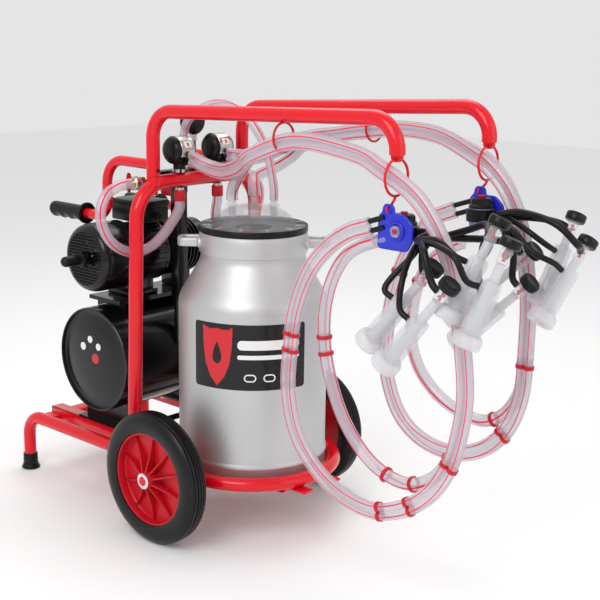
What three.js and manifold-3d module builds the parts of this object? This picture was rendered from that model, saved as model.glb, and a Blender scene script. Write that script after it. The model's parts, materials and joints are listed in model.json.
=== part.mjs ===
// Bucket milking machine with two clusters on a two-wheeled cart, in millimetres, +Z up.
// X runs from the handles (-X) to the teat cups (+X); "right" is -Y, "left" is +Y.
import * as THREE from 'three';
import { mergeVertices } from 'three/addons/utils/BufferGeometryUtils.js';
import Module from 'manifold-3d';

const wasm = await Module();
wasm.setup();

// ---- driving dimensions -------------------------------------------------------------
const GAP = 0.35; // clearance left between two pieces that touch
const FOOTPRINT_MIDDLE_X = 125.81; // moves the middle of the footprint onto X = 0

const SIDES = [['right', -1], ['left', 1]];

const RAIL = { radius: 16, y: 198, z: 150, rearX: -595, frontX: 244, legBend: 55, legBottom: 22 };
const AXLE = { z: 155, radius: 10, end: 312, bossRadius: 18, bossEnd: 236 };
const CROSS_TUBE = { x: -172, radius: 12.5, halfLength: 183.5 };
const RUNNER = { rear: -560, front: -160, inner: 115, outer: 150, top: 170, plate: 4 };
const STRAP = { y: 48, halfWidth: 15, plate: 5 };

const WHEEL = { radius: 155, rim: 108.2, inner: 242, outer: 300, hub: 20, ribs: 10 };

const POST = { radius: 16.85, x: -141, y: 194, z: 809, footX: -155, footY: 201, footZ: 160, bend: 84 };
const PEG = { x: -139, y: 145, radius: 12.2, top: 868, collarTop: 824.2 };
const HANDLE = { radius: 12.5, y: 122, x: -160, top: 847, dropX: -338, gripZ: 703, end: -552 };
const GRIP = { front: -420, rear: -562, radius: 18, flange: 27 };

const ARM = { radius: 16, bottom: 824.6, top: 974, rootBend: 65, tipBend: 78, hookHole: 7, ring: 36 };
const ARM_TIPS = {
  right: { x: 572, y: -145, z: 918, crest: 1002 },
  left: { x: 588, y: 145, z: 926, crest: 1013 },
};

const CAN = { x: 46, radius: 176, bottom: 118.3, shoulder: 540, collar: 123, collarBottom: 642, top: 704 };
const CAN_HANDLE = { reach: 177, halfWidth: 30, bottom: 667, top: 689, bar: 10, heading: 42 };
const LID = { radius: 125, bottom: 712.4, top: 719.4, dome: 98, domeTop: 765 };
const NOZZLES = [[8, -33, 773], [36, 11, 783], [79, 33, 774]];

const TANK = { x: -340, z: 347.5, radius: 132, halfLength: 178, wall: 3 };
const MOTOR = { x: -340, z: 607, radius: 78, bore: 14 };
const HEADER = { rear: -205, front: -175, halfLength: 100, bottom: 785, top: 828, riserX: -213 };
const VALVE = { x: -190, z: 804, leverX: -208, pivotY: 160 };
const PULSATOR = { x: -141, y: 62, z: 880, radius: 33, from: 28, to: 97 };
const GAUGE = { x: -190, y: 28, z: 940, radius: 31.5 };
const REGULATOR = { x: -264, y: 30, radius: 34, bottom: 752, top: 790 };

const CLAWS = {
  right: { x: 572, z: 791, milk: [525.8, -140, 758.2], outlet: [547, -141.5, 764.5], pulse: [512.4, -146, 787.4] },
  left: { x: 588, z: 802, milk: [531.8, 146, 720.4], outlet: [560, 146, 734.3], pulse: [512.4, 143, 790.4] },
};

// Mouth and cap centre of each teat cup, and the way its milk tube and its pulse tube take.
const CUPS = {
  right: [
    {
      mouth: [573, -225, 571],
      cap: [706, -200, 739],
      milkWay: [[636, -122, 772], [652, -160, 757]],
      pulseWay: [[634, -122, 786], [638, -165, 754]],
    },
    {
      mouth: [634, -248, 544],
      cap: [767, -232, 719],
      milkWay: [[636, -122, 772], [655, -168, 778], [700, -222, 772]],
      pulseWay: [[634, -122, 786], [642, -172, 765], [658, -228, 715]],
    },
    {
      mouth: [748, -209, 648],
      cap: [806, -140, 830],
      milkWay: [[640, -104, 775], [700, -96, 795], [755, -104, 815]],
      pulseWay: [[634, -122, 786], [644, -168, 780], [715, -198, 790]],
    },
    {
      mouth: [794, -218, 609],
      cap: [848, -165, 800],
      milkWay: [[640, -104, 775], [700, -90, 780], [770, -92, 786], [818, -118, 786]],
      pulseWay: [[634, -122, 786], [646, -172, 778], [720, -212, 785], [772, -226, 770]],
    },
  ],
  left: [
    {
      mouth: [566, 66, 566],
      cap: [739, 95, 737],
      milkWay: [[650, 104, 780], [680, 100, 765]],
      pulseWay: [[640, 96, 780], [640, 88, 735]],
    },
    {
      mouth: [606, 30, 532],
      cap: [758, 56, 680],
      milkWay: [[650, 100, 785], [690, 68, 765], [712, 62, 735]],
      pulseWay: [[638, 92, 775], [640, 58, 735]],
    },
    {
      mouth: [760, 96, 629],
      cap: [778, 185, 800],
      milkWay: [[650, 108, 790], [700, 104, 800], [745, 118, 800]],
      pulseWay: [[650, 100, 800], [700, 88, 790], [745, 84, 770]],
    },
    {
      mouth: [794, 38, 608],
      cap: [827, 150, 760],
      milkWay: [[650, 100, 800], [720, 76, 815], [800, 74, 800], [838, 88, 765]],
      pulseWay: [[650, 96, 790], [710, 60, 780], [765, 48, 745]],
    },
  ],
};
const CUP = { mouth: 29, shellFrom: 26, shellTo: 131, valve: 180, capFrom: 198, pulsePort: 112 };

// Hose routes, from the vacuum or milk end to the claw.
const HOSE_ROUTES = {
  right: {
    milk: [
      [8, -33, 774], [8, -33, 786], [16, -38, 802], [46, -55, 826], [90, -80, 857], [137, -105, 883],
      [195, -128, 911], [265, -134, 931], [338, -134, 939], [419, -134, 931], [484, -134, 918],
      [522, -134, 900], [572, -134, 879], [622, -134, 846], [672, -134, 785], [697, -134, 734],
      [717, -134, 670], [736, -134, 576], [746, -134, 479], [734, -134, 395], [704, -130, 331],
      [666, -125, 292], [610, -122, 266], [550, -122, 272], [496, -122, 299], [439, -122, 358],
      [401, -122, 431], [379, -122, 514], [379, -124, 590], [400, -128, 659], [439, -132, 715],
      [484, -134, 743], [525, -140, 758],
    ],
    pulse: [
      [-101, -62, 861], [-90, -62, 861], [-70, -70, 859], [-33, -80, 853], [42, -98, 849], [123, -128, 868],
      [190, -156, 900], [289, -160, 935], [361, -160, 942], [441, -160, 934], [505, -160, 922],
      [543, -160, 904], [592, -160, 882], [641, -160, 850], [690, -160, 790], [716, -160, 741],
      [735, -160, 677], [753, -160, 584], [763, -160, 489], [752, -160, 406], [736, -160, 352],
      [692, -160, 280], [620, -160, 225], [543, -160, 202], [448, -160, 219], [376, -160, 266],
      [332, -160, 323], [310, -160, 408], [314, -160, 498], [325, -158, 587], [362, -155, 678],
      [413, -152, 737], [462, -149, 770], [511, -146, 787],
    ],
  },
  left: {
    milk: [
      [36, 11, 784], [36, 11, 792], [28, 18, 806], [9, 38, 818], [-6, 75, 824], [-2, 112, 834],
      [22, 150, 860], [64, 160, 897], [156, 156, 924], [246, 156, 939], [345, 156, 950], [454, 156, 943],
      [533, 156, 921], [588, 156, 897], [634, 156, 850], [671, 156, 772], [694, 156, 641],
      [698, 156, 512], [689, 156, 422], [659, 150, 365], [612, 146, 337], [548, 144, 343],
      [485, 142, 371], [437, 140, 417], [412, 140, 471], [409, 140, 540], [421, 142, 611],
      [450, 144, 667], [488, 145, 699], [531, 146, 720],
    ],
    pulse: [
      [-101, 62, 861], [-90, 62, 861], [-74, 68, 860], [-51, 85, 860], [-20, 105, 869], [29, 122, 891],
      [86, 130, 911], [177, 131, 927], [266, 131, 942], [364, 131, 953], [472, 131, 946],
      [550, 131, 916], [601, 131, 889], [648, 131, 843], [684, 131, 773], [709, 131, 647],
      [713, 131, 520], [706, 131, 410], [674, 131, 331], [613, 131, 274], [535, 131, 249],
      [451, 131, 261], [392, 131, 302], [354, 131, 378], [345, 131, 460], [352, 132, 543],
      [376, 134, 639], [412, 137, 712], [461, 140, 767], [511, 143, 790],
    ],
  },
};
const VACUUM_HOSE_ROUTE = [
  [-182, -10, 870.4], [-182, -10, 884], [-179, -13, 912], [-164, -13, 944], [-140, -5, 966], [-111, 0, 982],
  [-82, 5, 989], [-50, 10, 988], [-23, 16, 979], [3, 20, 962], [27, 25, 936], [44, 28, 912],
  [61, 31, 878], [72, 33, 833], [79, 33, 800], [79, 33, 775],
];
// Written for the left side; the right one mirrors Y.
const VALVE_HOSE_ROUTE = [
  [-190, 172.8, 804], [-190, 186, 804], [-190, 205, 802], [-190, 222, 796], [-190, 238, 789], [-190, 256, 767],
  [-190, 262, 735], [-190, 252, 702], [-190, 230, 671], [-190, 192, 647], [-188, 154, 640],
  [-180, 117, 651], [-170, 90, 676], [-158, 72, 707], [-146, 63, 732], [-141, 62, 748], [-141, 62, 758.4],
];

// ---- materials ----------------------------------------------------------------------
const FINISHES = {
  redPaint: { color: 0xd8102c, roughness: 0.28, metalness: 0 },
  redPlastic: { color: 0xc9142a, roughness: 0.4, metalness: 0 },
  blackPaint: { color: 0x141414, roughness: 0.3, metalness: 0 },
  blackPlastic: { color: 0x1b1b1b, roughness: 0.5, metalness: 0 },
  blackRubber: { color: 0x17171a, roughness: 0.85, metalness: 0 },
  aluminium: { color: 0xc9ccd0, roughness: 0.3, metalness: 1 },
  chrome: { color: 0xd8dadd, roughness: 0.12, metalness: 1 },
  brass: { color: 0xc8a04a, roughness: 0.3, metalness: 1 },
  clear: { color: 0xdfe3f2, roughness: 0.1, metalness: 0 },
  lilacHose: { color: 0xc9b4cf, roughness: 0.3, metalness: 0 },
  bluePlastic: { color: 0x1e28c8, roughness: 0.35, metalness: 0 },
};

// ---- geometry helpers ---------------------------------------------------------------
function toSolid(geometry) {
  const plain = geometry.clone();
  plain.deleteAttribute('normal');
  plain.deleteAttribute('uv');
  const merged = mergeVertices(plain, 1e-3);
  const corners = merged.index.array;
  const triangles = [];
  for (let i = 0; i < corners.length; i += 3) {
    const [a, b, c] = [corners[i], corners[i + 1], corners[i + 2]];
    if (a !== b && b !== c && c !== a) triangles.push(a, b, c);
  }
  return new wasm.Manifold(new wasm.Mesh({
    numProp: 3,
    vertProperties: new Float32Array(merged.attributes.position.array),
    triVerts: new Uint32Array(triangles),
  }));
}

function toGeometry(solid) {
  const mesh = solid.getMesh();
  const geometry = new THREE.BufferGeometry();
  geometry.setAttribute('position', new THREE.BufferAttribute(mesh.vertProperties, 3));
  geometry.setIndex(new THREE.BufferAttribute(mesh.triVerts, 1));
  geometry.computeVertexNormals();
  return geometry;
}

const join = (...solids) => wasm.Manifold.union(solids);

// A path whose sections stand exactly at the given stations. With a side, every section
// keeps its second axis towards that side, so a flat hose does not twist.
class StationCurve extends THREE.Curve {
  constructor(stations, side) {
    super();
    this.stations = stations;
    this.side = side;
  }

  getPoint(t, target = new THREE.Vector3()) {
    const place = t * (this.stations.length - 1);
    const i = Math.min(Math.floor(place), this.stations.length - 2);
    return target.lerpVectors(this.stations[i], this.stations[i + 1], place - i);
  }

  getPointAt(u, target) {
    return this.getPoint(u, target);
  }

  getTangentAt(u, target = new THREE.Vector3()) {
    const last = this.stations.length - 1;
    const i = Math.round(u * last);
    const here = this.stations[i];
    const before = this.stations[Math.max(i - 1, 0)];
    const after = this.stations[Math.min(i + 1, last)];
    target.copy(here).sub(before).normalize();
    return target.add(after.clone().sub(here).normalize()).normalize();
  }

  computeFrenetFrames(segments, closed) {
    if (!this.side) return super.computeFrenetFrames(segments, closed);
    const frames = { tangents: [], normals: [], binormals: [] };
    for (let i = 0; i <= segments; i += 1) {
      const tangent = this.getTangentAt(i / segments);
      const binormal = this.side.clone().addScaledVector(tangent, -tangent.dot(this.side)).normalize();
      frames.tangents.push(tangent);
      frames.normals.push(binormal.clone().cross(tangent));
      frames.binormals.push(binormal);
    }
    return frames;
  }
}

function roundSection(radius, sides) {
  const points = [];
  for (let i = 0; i < sides; i += 1) {
    const turn = ((i + 0.5) / sides) * 2 * Math.PI;
    points.push(new THREE.Vector2(radius * Math.cos(turn), radius * Math.sin(turn)));
  }
  return new THREE.Shape(points);
}

// Width lies along the section's first axis, thickness along its second.
function flatSection(width, thickness) {
  const [w, t] = [width / 2, thickness / 2];
  const [flat, edge] = [w - t * 0.65, t * 0.42];
  const corners = [[w, edge], [flat, t], [-flat, t], [-w, edge], [-w, -edge], [-flat, -t], [flat, -t], [w, -edge]];
  return new THREE.Shape(corners.map(([x, y]) => new THREE.Vector2(x, y)));
}

function sweep(section, stations, side) {
  const extrudePath = new StationCurve(stations, side);
  return toSolid(new THREE.ExtrudeGeometry(section, {
    extrudePath,
    steps: stations.length - 1,
    bevelEnabled: false,
  }));
}

// Straight runs between the corners, each corner turned into an arc of its radius.
function roundedPath(corners, radii, steps = 4) {
  const points = corners.map((corner) => new THREE.Vector3(...corner));
  const path = [points[0]];
  for (let i = 1; i < points.length - 1; i += 1) {
    const back = points[i - 1].clone().sub(points[i]).normalize();
    const ahead = points[i + 1].clone().sub(points[i]).normalize();
    const half = back.angleTo(ahead) / 2;
    const middle = back.clone().add(ahead).normalize();
    const radius = radii[i - 1];
    const centre = points[i].clone().addScaledVector(middle, radius / Math.sin(half));
    const from = points[i].clone().addScaledVector(back, radius / Math.tan(half)).sub(centre);
    const to = points[i].clone().addScaledVector(ahead, radius / Math.tan(half)).sub(centre);
    const hinge = from.clone().cross(to).normalize();
    for (let k = 0; k <= steps; k += 1) {
      const point = from.clone().applyAxisAngle(hinge, (from.angleTo(to) * k) / steps).add(centre);
      if (point.distanceTo(path.at(-1)) > 0.01) path.push(point);
    }
  }
  path.push(points.at(-1));
  return path;
}

const pipe = (stations, radius, sides) => sweep(roundSection(radius, sides), stations);

function smooth(points, steps) {
  const vectors = points.map((point) => new THREE.Vector3(...point));
  const curve = new THREE.CatmullRomCurve3(vectors, false, 'centripetal');
  const stations = curve.getSpacedPoints(steps);
  const lead = 6 / curve.getLength();
  stations.splice(1, 0, curve.getPointAt(lead));
  stations.splice(-1, 0, curve.getPointAt(1 - lead));
  return stations;
}

function box(x0, x1, y0, y1, z0, z1) {
  const geometry = new THREE.BoxGeometry(Math.abs(x1 - x0), Math.abs(y1 - y0), Math.abs(z1 - z0));
  return toSolid(geometry.translate((x0 + x1) / 2, (y0 + y1) / 2, (z0 + z1) / 2));
}

function cylinder(radius, from, to, sides = 16) {
  const [start, end] = [new THREE.Vector3(...from), new THREE.Vector3(...to)];
  const axis = end.clone().sub(start);
  const geometry = new THREE.CylinderGeometry(radius, radius, axis.length(), sides);
  const turn = new THREE.Quaternion().setFromUnitVectors(new THREE.Vector3(0, 1, 0), axis.normalize());
  geometry.applyQuaternion(turn);
  const middle = start.add(end).multiplyScalar(0.5);
  return toSolid(geometry.translate(middle.x, middle.y, middle.z));
}

// Profile points are [radius, height], anticlockwise round the material.
function turned(profile, sides, axis = 'z') {
  const points = profile.map(([radius, height]) => new THREE.Vector2(radius, height));
  const geometry = new THREE.LatheGeometry(points, sides);
  if (axis === 'z') geometry.rotateX(Math.PI / 2);
  if (axis === 'x') geometry.rotateZ(-Math.PI / 2);
  return toSolid(geometry);
}

const ring = (inner, outer, from, to) => [[inner, from], [outer, from], [outer, to], [inner, to], [inner, from]];

// A flat plate whose outline is in X and Z, standing between two Y planes.
function plateXZ(outline, y0, y1) {
  const shape = new THREE.Shape(outline.map(([x, z]) => new THREE.Vector2(x, z)));
  const geometry = new THREE.ExtrudeGeometry(shape, { depth: Math.abs(y1 - y0), bevelEnabled: false });
  geometry.rotateX(Math.PI / 2);
  return toSolid(geometry.translate(0, Math.max(y0, y1), 0));
}

const machine = new THREE.Group();
machine.name = 'milking_machine';
machine.position.x = -FOOTPRINT_MIDDLE_X;

function group(name, parent = machine) {
  const made = new THREE.Group();
  made.name = name;
  parent.add(made);
  return made;
}

// The solid is drawn about its own origin and stands at the given place.
function add(parent, name, solid, finish, place = [0, 0, 0], rotation = [0, 0, 0]) {
  const mesh = new THREE.Mesh(toGeometry(solid), new THREE.MeshStandardMaterial(FINISHES[finish]));
  mesh.name = name;
  mesh.position.set(...place);
  mesh.rotation.set(...rotation);
  parent.add(mesh);
  return mesh;
}

// ---- cart frame ---------------------------------------------------------------------
function baseFrame() {
  const { y, z, rearX, frontX, legBottom, legBend } = RAIL;
  const corners = [
    [rearX, -y, legBottom], [rearX, -y, z], [frontX, -y, z],
    [frontX, y, z], [rearX, y, z], [rearX, y, legBottom],
  ];
  const rails = pipe(roundedPath(corners, [legBend, y, y, legBend], 4), RAIL.radius, 8);
  const cross = cylinder(CROSS_TUBE.radius, [CROSS_TUBE.x, -CROSS_TUBE.halfLength, z],
    [CROSS_TUBE.x, CROSS_TUBE.halfLength, z], 8);
  const rearFlat = box(-562, -522, -185, 185, z, z + 4);
  const rearFlange = box(-562, -558, -185, 185, z - 28, z + 4);
  const solids = [rails, cross, rearFlat, rearFlange];
  const strapTop = [[275, 134.5], [222, 134.5], [205, 118], [-142, 118], [-160, 142], [-176, 142]];
  const strapOutline = [...strapTop, ...strapTop.map(([x, h]) => [x, h - STRAP.plate]).reverse()];
  for (const [, sign] of SIDES) {
    const { rear, front, inner, outer, top, plate } = RUNNER;
    solids.push(box(rear, front, sign * inner, sign * outer, top - plate, top));
    solids.push(box(rear, front, sign * (outer - plate), sign * outer, z - 14, top));
    solids.push(cylinder(AXLE.radius, [0, sign * 200, AXLE.z], [0, sign * AXLE.end, AXLE.z], 12));
    solids.push(cylinder(AXLE.bossRadius, [0, sign * 200, AXLE.z], [0, sign * AXLE.bossEnd, AXLE.z], 12));
    const [from, to] = [sign * STRAP.y - STRAP.halfWidth, sign * STRAP.y + STRAP.halfWidth];
    solids.push(plateXZ(strapOutline, from, to));
  }
  return join(...solids);
}
add(machine, 'base_frame', baseFrame(), 'redPaint');

const footProfile = [[0, 0], [24, 0], [24, 5], [19.5, 16], [19, 42], [17, 42], [17, 21.6], [0, 21.6]];
for (const [side, sign] of SIDES) {
  add(machine, `${side}_foot`, turned(footProfile, 12), 'blackRubber', [RAIL.rearX, sign * RAIL.y, 0]);
}

// ---- arch with the pegs of the swing arms and the two handles --------------------------
function archFrame() {
  const { x, y, z, footX, footY, footZ, bend, radius } = POST;
  const corners = [[footX, -footY, footZ], [x, -y, z], [x, y, z], [footX, footY, footZ]];
  const solids = [pipe(roundedPath(corners, [bend, bend], 4), radius, 10)];
  for (const [, sign] of SIDES) {
    const peg = sign * PEG.y;
    solids.push(cylinder(PEG.radius, [PEG.x, peg, z], [PEG.x, peg, PEG.top], 10));
    solids.push(cylinder(ARM.radius, [PEG.x, peg, z - 8], [PEG.x, peg, PEG.collarTop], 10));
    const h = sign * HANDLE.y;
    const handle = [
      [HANDLE.x, h, z - 9], [HANDLE.x, h, HANDLE.top], [HANDLE.dropX, h, HANDLE.top],
      [HANDLE.dropX, h, HANDLE.gripZ], [HANDLE.end, h, HANDLE.gripZ],
    ];
    solids.push(pipe(roundedPath(handle, [25, 60, 42], 3), HANDLE.radius, 8));
    solids.push(cylinder(7, [x - 2, sign * 136, z - 30], [x - 2, sign * 136, z - 8], 6));
  }
  let arch = join(...solids);
  for (const [, sign] of SIDES) {
    const rail = [[footX - 60, sign * RAIL.y, RAIL.z], [footX + 60, sign * RAIL.y, RAIL.z]];
    arch = arch.subtract(cylinder(RAIL.radius + 1.2, rail[0], rail[1], 12));
  }
  return arch;
}
add(machine, 'arch', archFrame(), 'redPaint');

function grip() {
  const length = GRIP.front - GRIP.rear;
  const outline = [[-length, GRIP.radius], [0, GRIP.radius]];
  const ridges = 4;
  for (let i = 0; i <= ridges * 2; i += 1) {
    const x = -(i / (ridges * 2)) * length;
    const swell = 19 - 2.2 * Math.cos((i / 2) * 2 * Math.PI);
    outline.push([x, -swell]);
  }
  const side = plateXZ(outline.reverse(), -GRIP.radius - 4, GRIP.radius + 4);
  const round = cylinder(GRIP.radius + 1, [-length, 0, 0], [0, 0, 0], 12);
  const flange = cylinder(GRIP.flange, [-6, 0, 0], [0, 0, 0], 12);
  const bore = cylinder(13.4, [HANDLE.end - GRIP.front - 1, 0, 0], [1, 0, 0], 10);
  return join(side.intersect(round), flange).subtract(bore);
}
for (const [side, sign] of SIDES) {
  add(machine, `${side}_grip`, grip(), 'blackRubber', [GRIP.front, sign * HANDLE.y, HANDLE.gripZ]);
}

// ---- wheels, drawn for the left side about the axle ---------------------------------------
function tyre() {
  const { radius, inner, outer } = WHEEL;
  const bore = WHEEL.rim + 1.4;
  const profile = [
    [bore, inner + 3], [134, inner + 1], [148, inner + 5], [radius, inner + 15],
    [radius, outer - 15], [148, outer - 5], [134, outer - 1], [bore, outer - 3], [bore, inner + 3],
  ];
  return turned(profile, 24, 'y');
}

function rim() {
  const { rim: radius, hub, ribs } = WHEEL;
  const wall = radius - 4;
  const profile = [
    [10.6, 238], [hub, 238], [hub, 267.5], [wall, 267.5], [wall, 247], [radius, 247],
    [radius, 294], [wall, 294], [wall, 272.5], [hub, 272.5], [hub, 305], [10.6, 305], [10.6, 238],
  ];
  const solids = [turned(profile, 16, 'y')];
  for (let i = 0; i < ribs; i += 1) {
    const outline = [[17, -271], [103, -271], [103, -276], [17, -300]];
    const shape = new THREE.Shape(outline.map(([x, y]) => new THREE.Vector2(x, -y)));
    const geometry = new THREE.ExtrudeGeometry(shape, { depth: 4, bevelEnabled: false });
    geometry.translate(0, 0, -2).rotateY(((i + 0.5) / ribs) * 2 * Math.PI);
    solids.push(toSolid(geometry));
  }
  return join(...solids);
}

for (const [side, sign] of SIDES) {
  const wheel = group(`${side}_wheel`);
  const place = [0, 0, AXLE.z];
  const facing = [0, 0, sign < 0 ? Math.PI : 0];
  add(wheel, `${side}_tyre`, tyre(), 'blackRubber', place, facing);
  add(wheel, `${side}_rim`, rim(), 'redPlastic', place, facing);
  const washer = turned(ring(10.6, 19, 305.4, 309.4), 12, 'y');
  add(machine, `${side}_axle_washer`, washer, 'chrome', place, facing);
}

// ---- milk can, gasket and lid -------------------------------------------------------------
function milkCan() {
  const { radius, bottom, shoulder, collar, collarBottom, top } = CAN;
  const profile = [
    [0, bottom], [156, bottom], [172, bottom + 16], [radius, 172], [radius + 3, 180], [radius, 188],
    [radius, shoulder], [168, shoulder + 26], [collar, collarBottom], [collar, top],
    [collar - 3, top], [collar - 3, collarBottom - 2], [radius - 3, shoulder - 2],
    [radius - 4, bottom + 20], [154, bottom + 4], [0, bottom + 4],
  ];
  let can = turned(profile, 24);
  const { reach, halfWidth, bar } = CAN_HANDLE;
  for (const heading of [CAN_HANDLE.heading, CAN_HANDLE.heading + 180]) {
    const outer = box(collar - 2, reach, -halfWidth, halfWidth, CAN_HANDLE.bottom, CAN_HANDLE.top);
    const inner = halfWidth - bar;
    const slot = box(collar + 3, reach - bar, -inner, inner, CAN_HANDLE.bottom - 5, CAN_HANDLE.top + 5);
    can = join(can, outer.subtract(slot).rotate([0, 0, heading]));
  }
  return can;
}
add(machine, 'can', milkCan(), 'aluminium', [CAN.x, 0, 0]);

const gasketProfile = [
  [106, CAN.top + GAP], [127.5, CAN.top + GAP], [127.5, LID.top], [125.6, LID.top],
  [125.6, LID.bottom - GAP], [106, LID.bottom - GAP], [106, CAN.top + GAP],
];
add(machine, 'lid_gasket', turned(gasketProfile, 24), 'blackRubber', [CAN.x, 0, 0]);

function lid() {
  const { radius, bottom, top, dome, domeTop } = LID;
  const profile = [
    [0, domeTop - 4], [80, domeTop - 10], [94, bottom], [radius, bottom], [radius, top],
    [dome, top], [dome - 3, domeTop - 24], [dome - 15, domeTop - 5], [0, domeTop],
  ];
  let cover = turned(profile, 24);
  for (const [x, y, tip] of NOZZLES) {
    const at = x - CAN.x;
    cover = join(cover, cylinder(10, [at, y, domeTop - 9], [at, y, tip], 8));
    cover = cover.subtract(cylinder(7, [at, y, domeTop - 20], [at, y, tip + 1], 6));
  }
  return cover;
}
add(machine, 'can_lid', lid(), 'clear', [CAN.x, 0, 0]);

// ---- vacuum tank, its cradle and the motor stand -----------------------------------------------
const tankBore = (length) => cylinder(TANK.radius + GAP + 0.8, [TANK.x, -length, TANK.z], [TANK.x, length, TANK.z], 32);

function tank() {
  const { radius, halfLength: h, wall } = TANK;
  const inner = radius - wall;
  const half = [[radius, h], [radius - 6, h], [radius - 8, h - 9], [112, h - 9], [60, h - 1], [0, h]];
  const outside = turned([...half.map(([r, y]) => [r, -y]).reverse(), ...half], 24, 'y');
  const inside = turned([[0, 13 - h], [inner, 20 - h], [inner, h - 20], [0, h - 13]], 16, 'y');
  return outside.subtract(inside).subtract(cylinder(6, [0, 0, -radius - 3], [0, 0, -radius + 12], 8));
}
add(machine, 'tank', tank(), 'blackPaint', [TANK.x, 0, TANK.z]);

function tankCradle() {
  const [bottom, top] = [RUNNER.top + GAP, RUNNER.top + GAP + 5];
  const solids = [];
  for (const x of [-440, -265]) solids.push(box(x, x + 25, -150, 150, bottom, top));
  for (const [, sign] of SIDES) {
    solids.push(box(-440, -240, sign * 112, sign * 150, bottom, top));
    solids.push(box(-428, -252, sign * 127, sign * 132, bottom + 2, 262));
  }
  return join(...solids).subtract(tankBore(200));
}
add(machine, 'tank_cradle', tankCradle(), 'blackPaint');

function motorStand() {
  const solids = [box(-400, -280, -138, 160, 490, 500)];
  for (const [, sign] of SIDES) solids.push(box(-392, -288, sign * 112, sign * 118, 440, 492));
  return join(...solids).subtract(tankBore(200));
}
add(machine, 'motor_stand', motorStand(), 'blackPaint');

// ---- motor, rotor and pump, drawn about the shaft ------------------------------------------------
const shaftPlace = [MOTOR.x, 0, MOTOR.z];
const footTop = 500.35 - MOTOR.z;

const motorProfile = [
  [MOTOR.bore, -98], [72, -98], [81.4, -97], [81.4, -90], [MOTOR.radius, -88],
  [MOTOR.radius, 12], [70, 20], [MOTOR.bore, 20], [MOTOR.bore, -98],
];
const motorFoot = box(-45, 45, -84, 0, footTop, -60).subtract(cylinder(40, [0, -99, 0], [0, 21, 0], 12));
add(machine, 'motor_body', join(turned(motorProfile, 18, 'y'), motorFoot), 'blackPaint', shaftPlace);

function fanCover() {
  const profile = [
    [12.5, -197], [65, -197], [79, -188], [85, -170], [85, -88], [82, -88],
    [82, -169], [76, -185], [64, -194], [12.5, -194], [12.5, -197],
  ];
  let cover = turned(profile, 18, 'y');
  for (const height of [-42, -22, 22, 42]) {
    const reach = Math.sqrt(56 ** 2 - height ** 2);
    cover = cover.subtract(box(-reach, reach, -199, -192, height - 6, height + 6));
  }
  return cover;
}
add(machine, 'fan_cover', fanCover(), 'blackPaint', shaftPlace);

function rotor() {
  const profile = [
    [0, -205], [10, -205], [10, -150], [60, -150], [60, -146], [10, -146],
    [10, 44], [38, 44], [38, 140], [0, 140],
  ];
  const solids = [turned(profile, 12, 'y')];
  for (let i = 0; i < 6; i += 1) {
    solids.push(box(8, 58, -170, -148, -1.5, 1.5).rotate([0, i * 60, 0]));
  }
  return join(...solids);
}
const spinning = group('rotor_assembly');
add(spinning, 'rotor', rotor(), 'chrome', shaftPlace);

const knobBase = box(-24, 24, -217, -205.4, -15, 15);
const knobProfile = [[0, -263], [8, -261], [13, -254], [13, -215], [0, -215]];
const knobGrip = turned(knobProfile, 12, 'y');
add(spinning, 'turning_knob', join(knobBase, knobGrip), 'blackPlastic', shaftPlace);

function pump() {
  const profile = [
    [0, 150], [48, 150], [48, 38], [MOTOR.bore, 38], [MOTOR.bore, 30], [66, 30], [66, 56], [72, 60],
    [72, 132], [66, 136], [66, 165], [40, 165], [40, 190], [36, 195], [0, 195],
  ];
  const foot = box(-35, 35, 80, 120, footTop, -52);
  return join(turned(profile, 18, 'y'), foot.subtract(cylinder(55, [0, 70, 0], [0, 130, 0], 12)));
}
add(machine, 'pump_body', pump(), 'blackPaint', shaftPlace);

function terminalBox() {
  const lower = box(-398, -276, -63, 22, 685.6, 722);
  const upper = box(-400, -274, -65, 24, 722, 740);
  const gland = cylinder(9, [-280, -20, 703], [-262, -20, 703], 10);
  return join(lower, upper, gland);
}
add(machine, 'terminal_box', terminalBox(), 'blackPlastic');
const switchKnob = join(turned([[0, 0], [13, 0], [12, 7], [0, 7]], 16), box(-12, 12, -3, 3, 5, 14));
add(machine, 'switch_knob', switchKnob, 'redPlastic', [-335, -20, 740.35]);

// ---- vacuum header, gauge, regulator and valves ---------------------------------------------------
function header() {
  const { rear, front, halfLength, bottom, top, riserX } = HEADER;
  const bar = box(rear, front, -halfLength, halfLength, bottom, top);
  const riser = box(riserX - 15, riserX + 15, -15, 15, 495, bottom + 3);
  const drop = cylinder(14, [riserX, 0, 362], [riserX, 0, 500], 14).subtract(tankBore(200));
  const nozzle = cylinder(9, [-182, -10, top - 4], [-182, -10, 869.6], 12);
  return join(bar, riser, drop, nozzle);
}
add(machine, 'vacuum_header', header(), 'blackPaint');

function regulator() {
  const { x, y, radius, bottom, top } = REGULATOR;
  const profile = [[0, bottom], [radius - 6, bottom], [radius, bottom + 6], [radius, top], [0, top]];
  const cup = turned(profile, 16).translate([x, y, 0]);
  const cap = cylinder(18, [x, y, top - 2], [x, y, top + 8], 12);
  const elbow = roundedPath([[x, y, top], [x, y, 812], [HEADER.rear - GAP, y, 812]], [14], 2);
  return join(cup, cap, pipe(elbow, 9, 6));
}
add(machine, 'regulator', regulator(), 'redPlastic');

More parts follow.
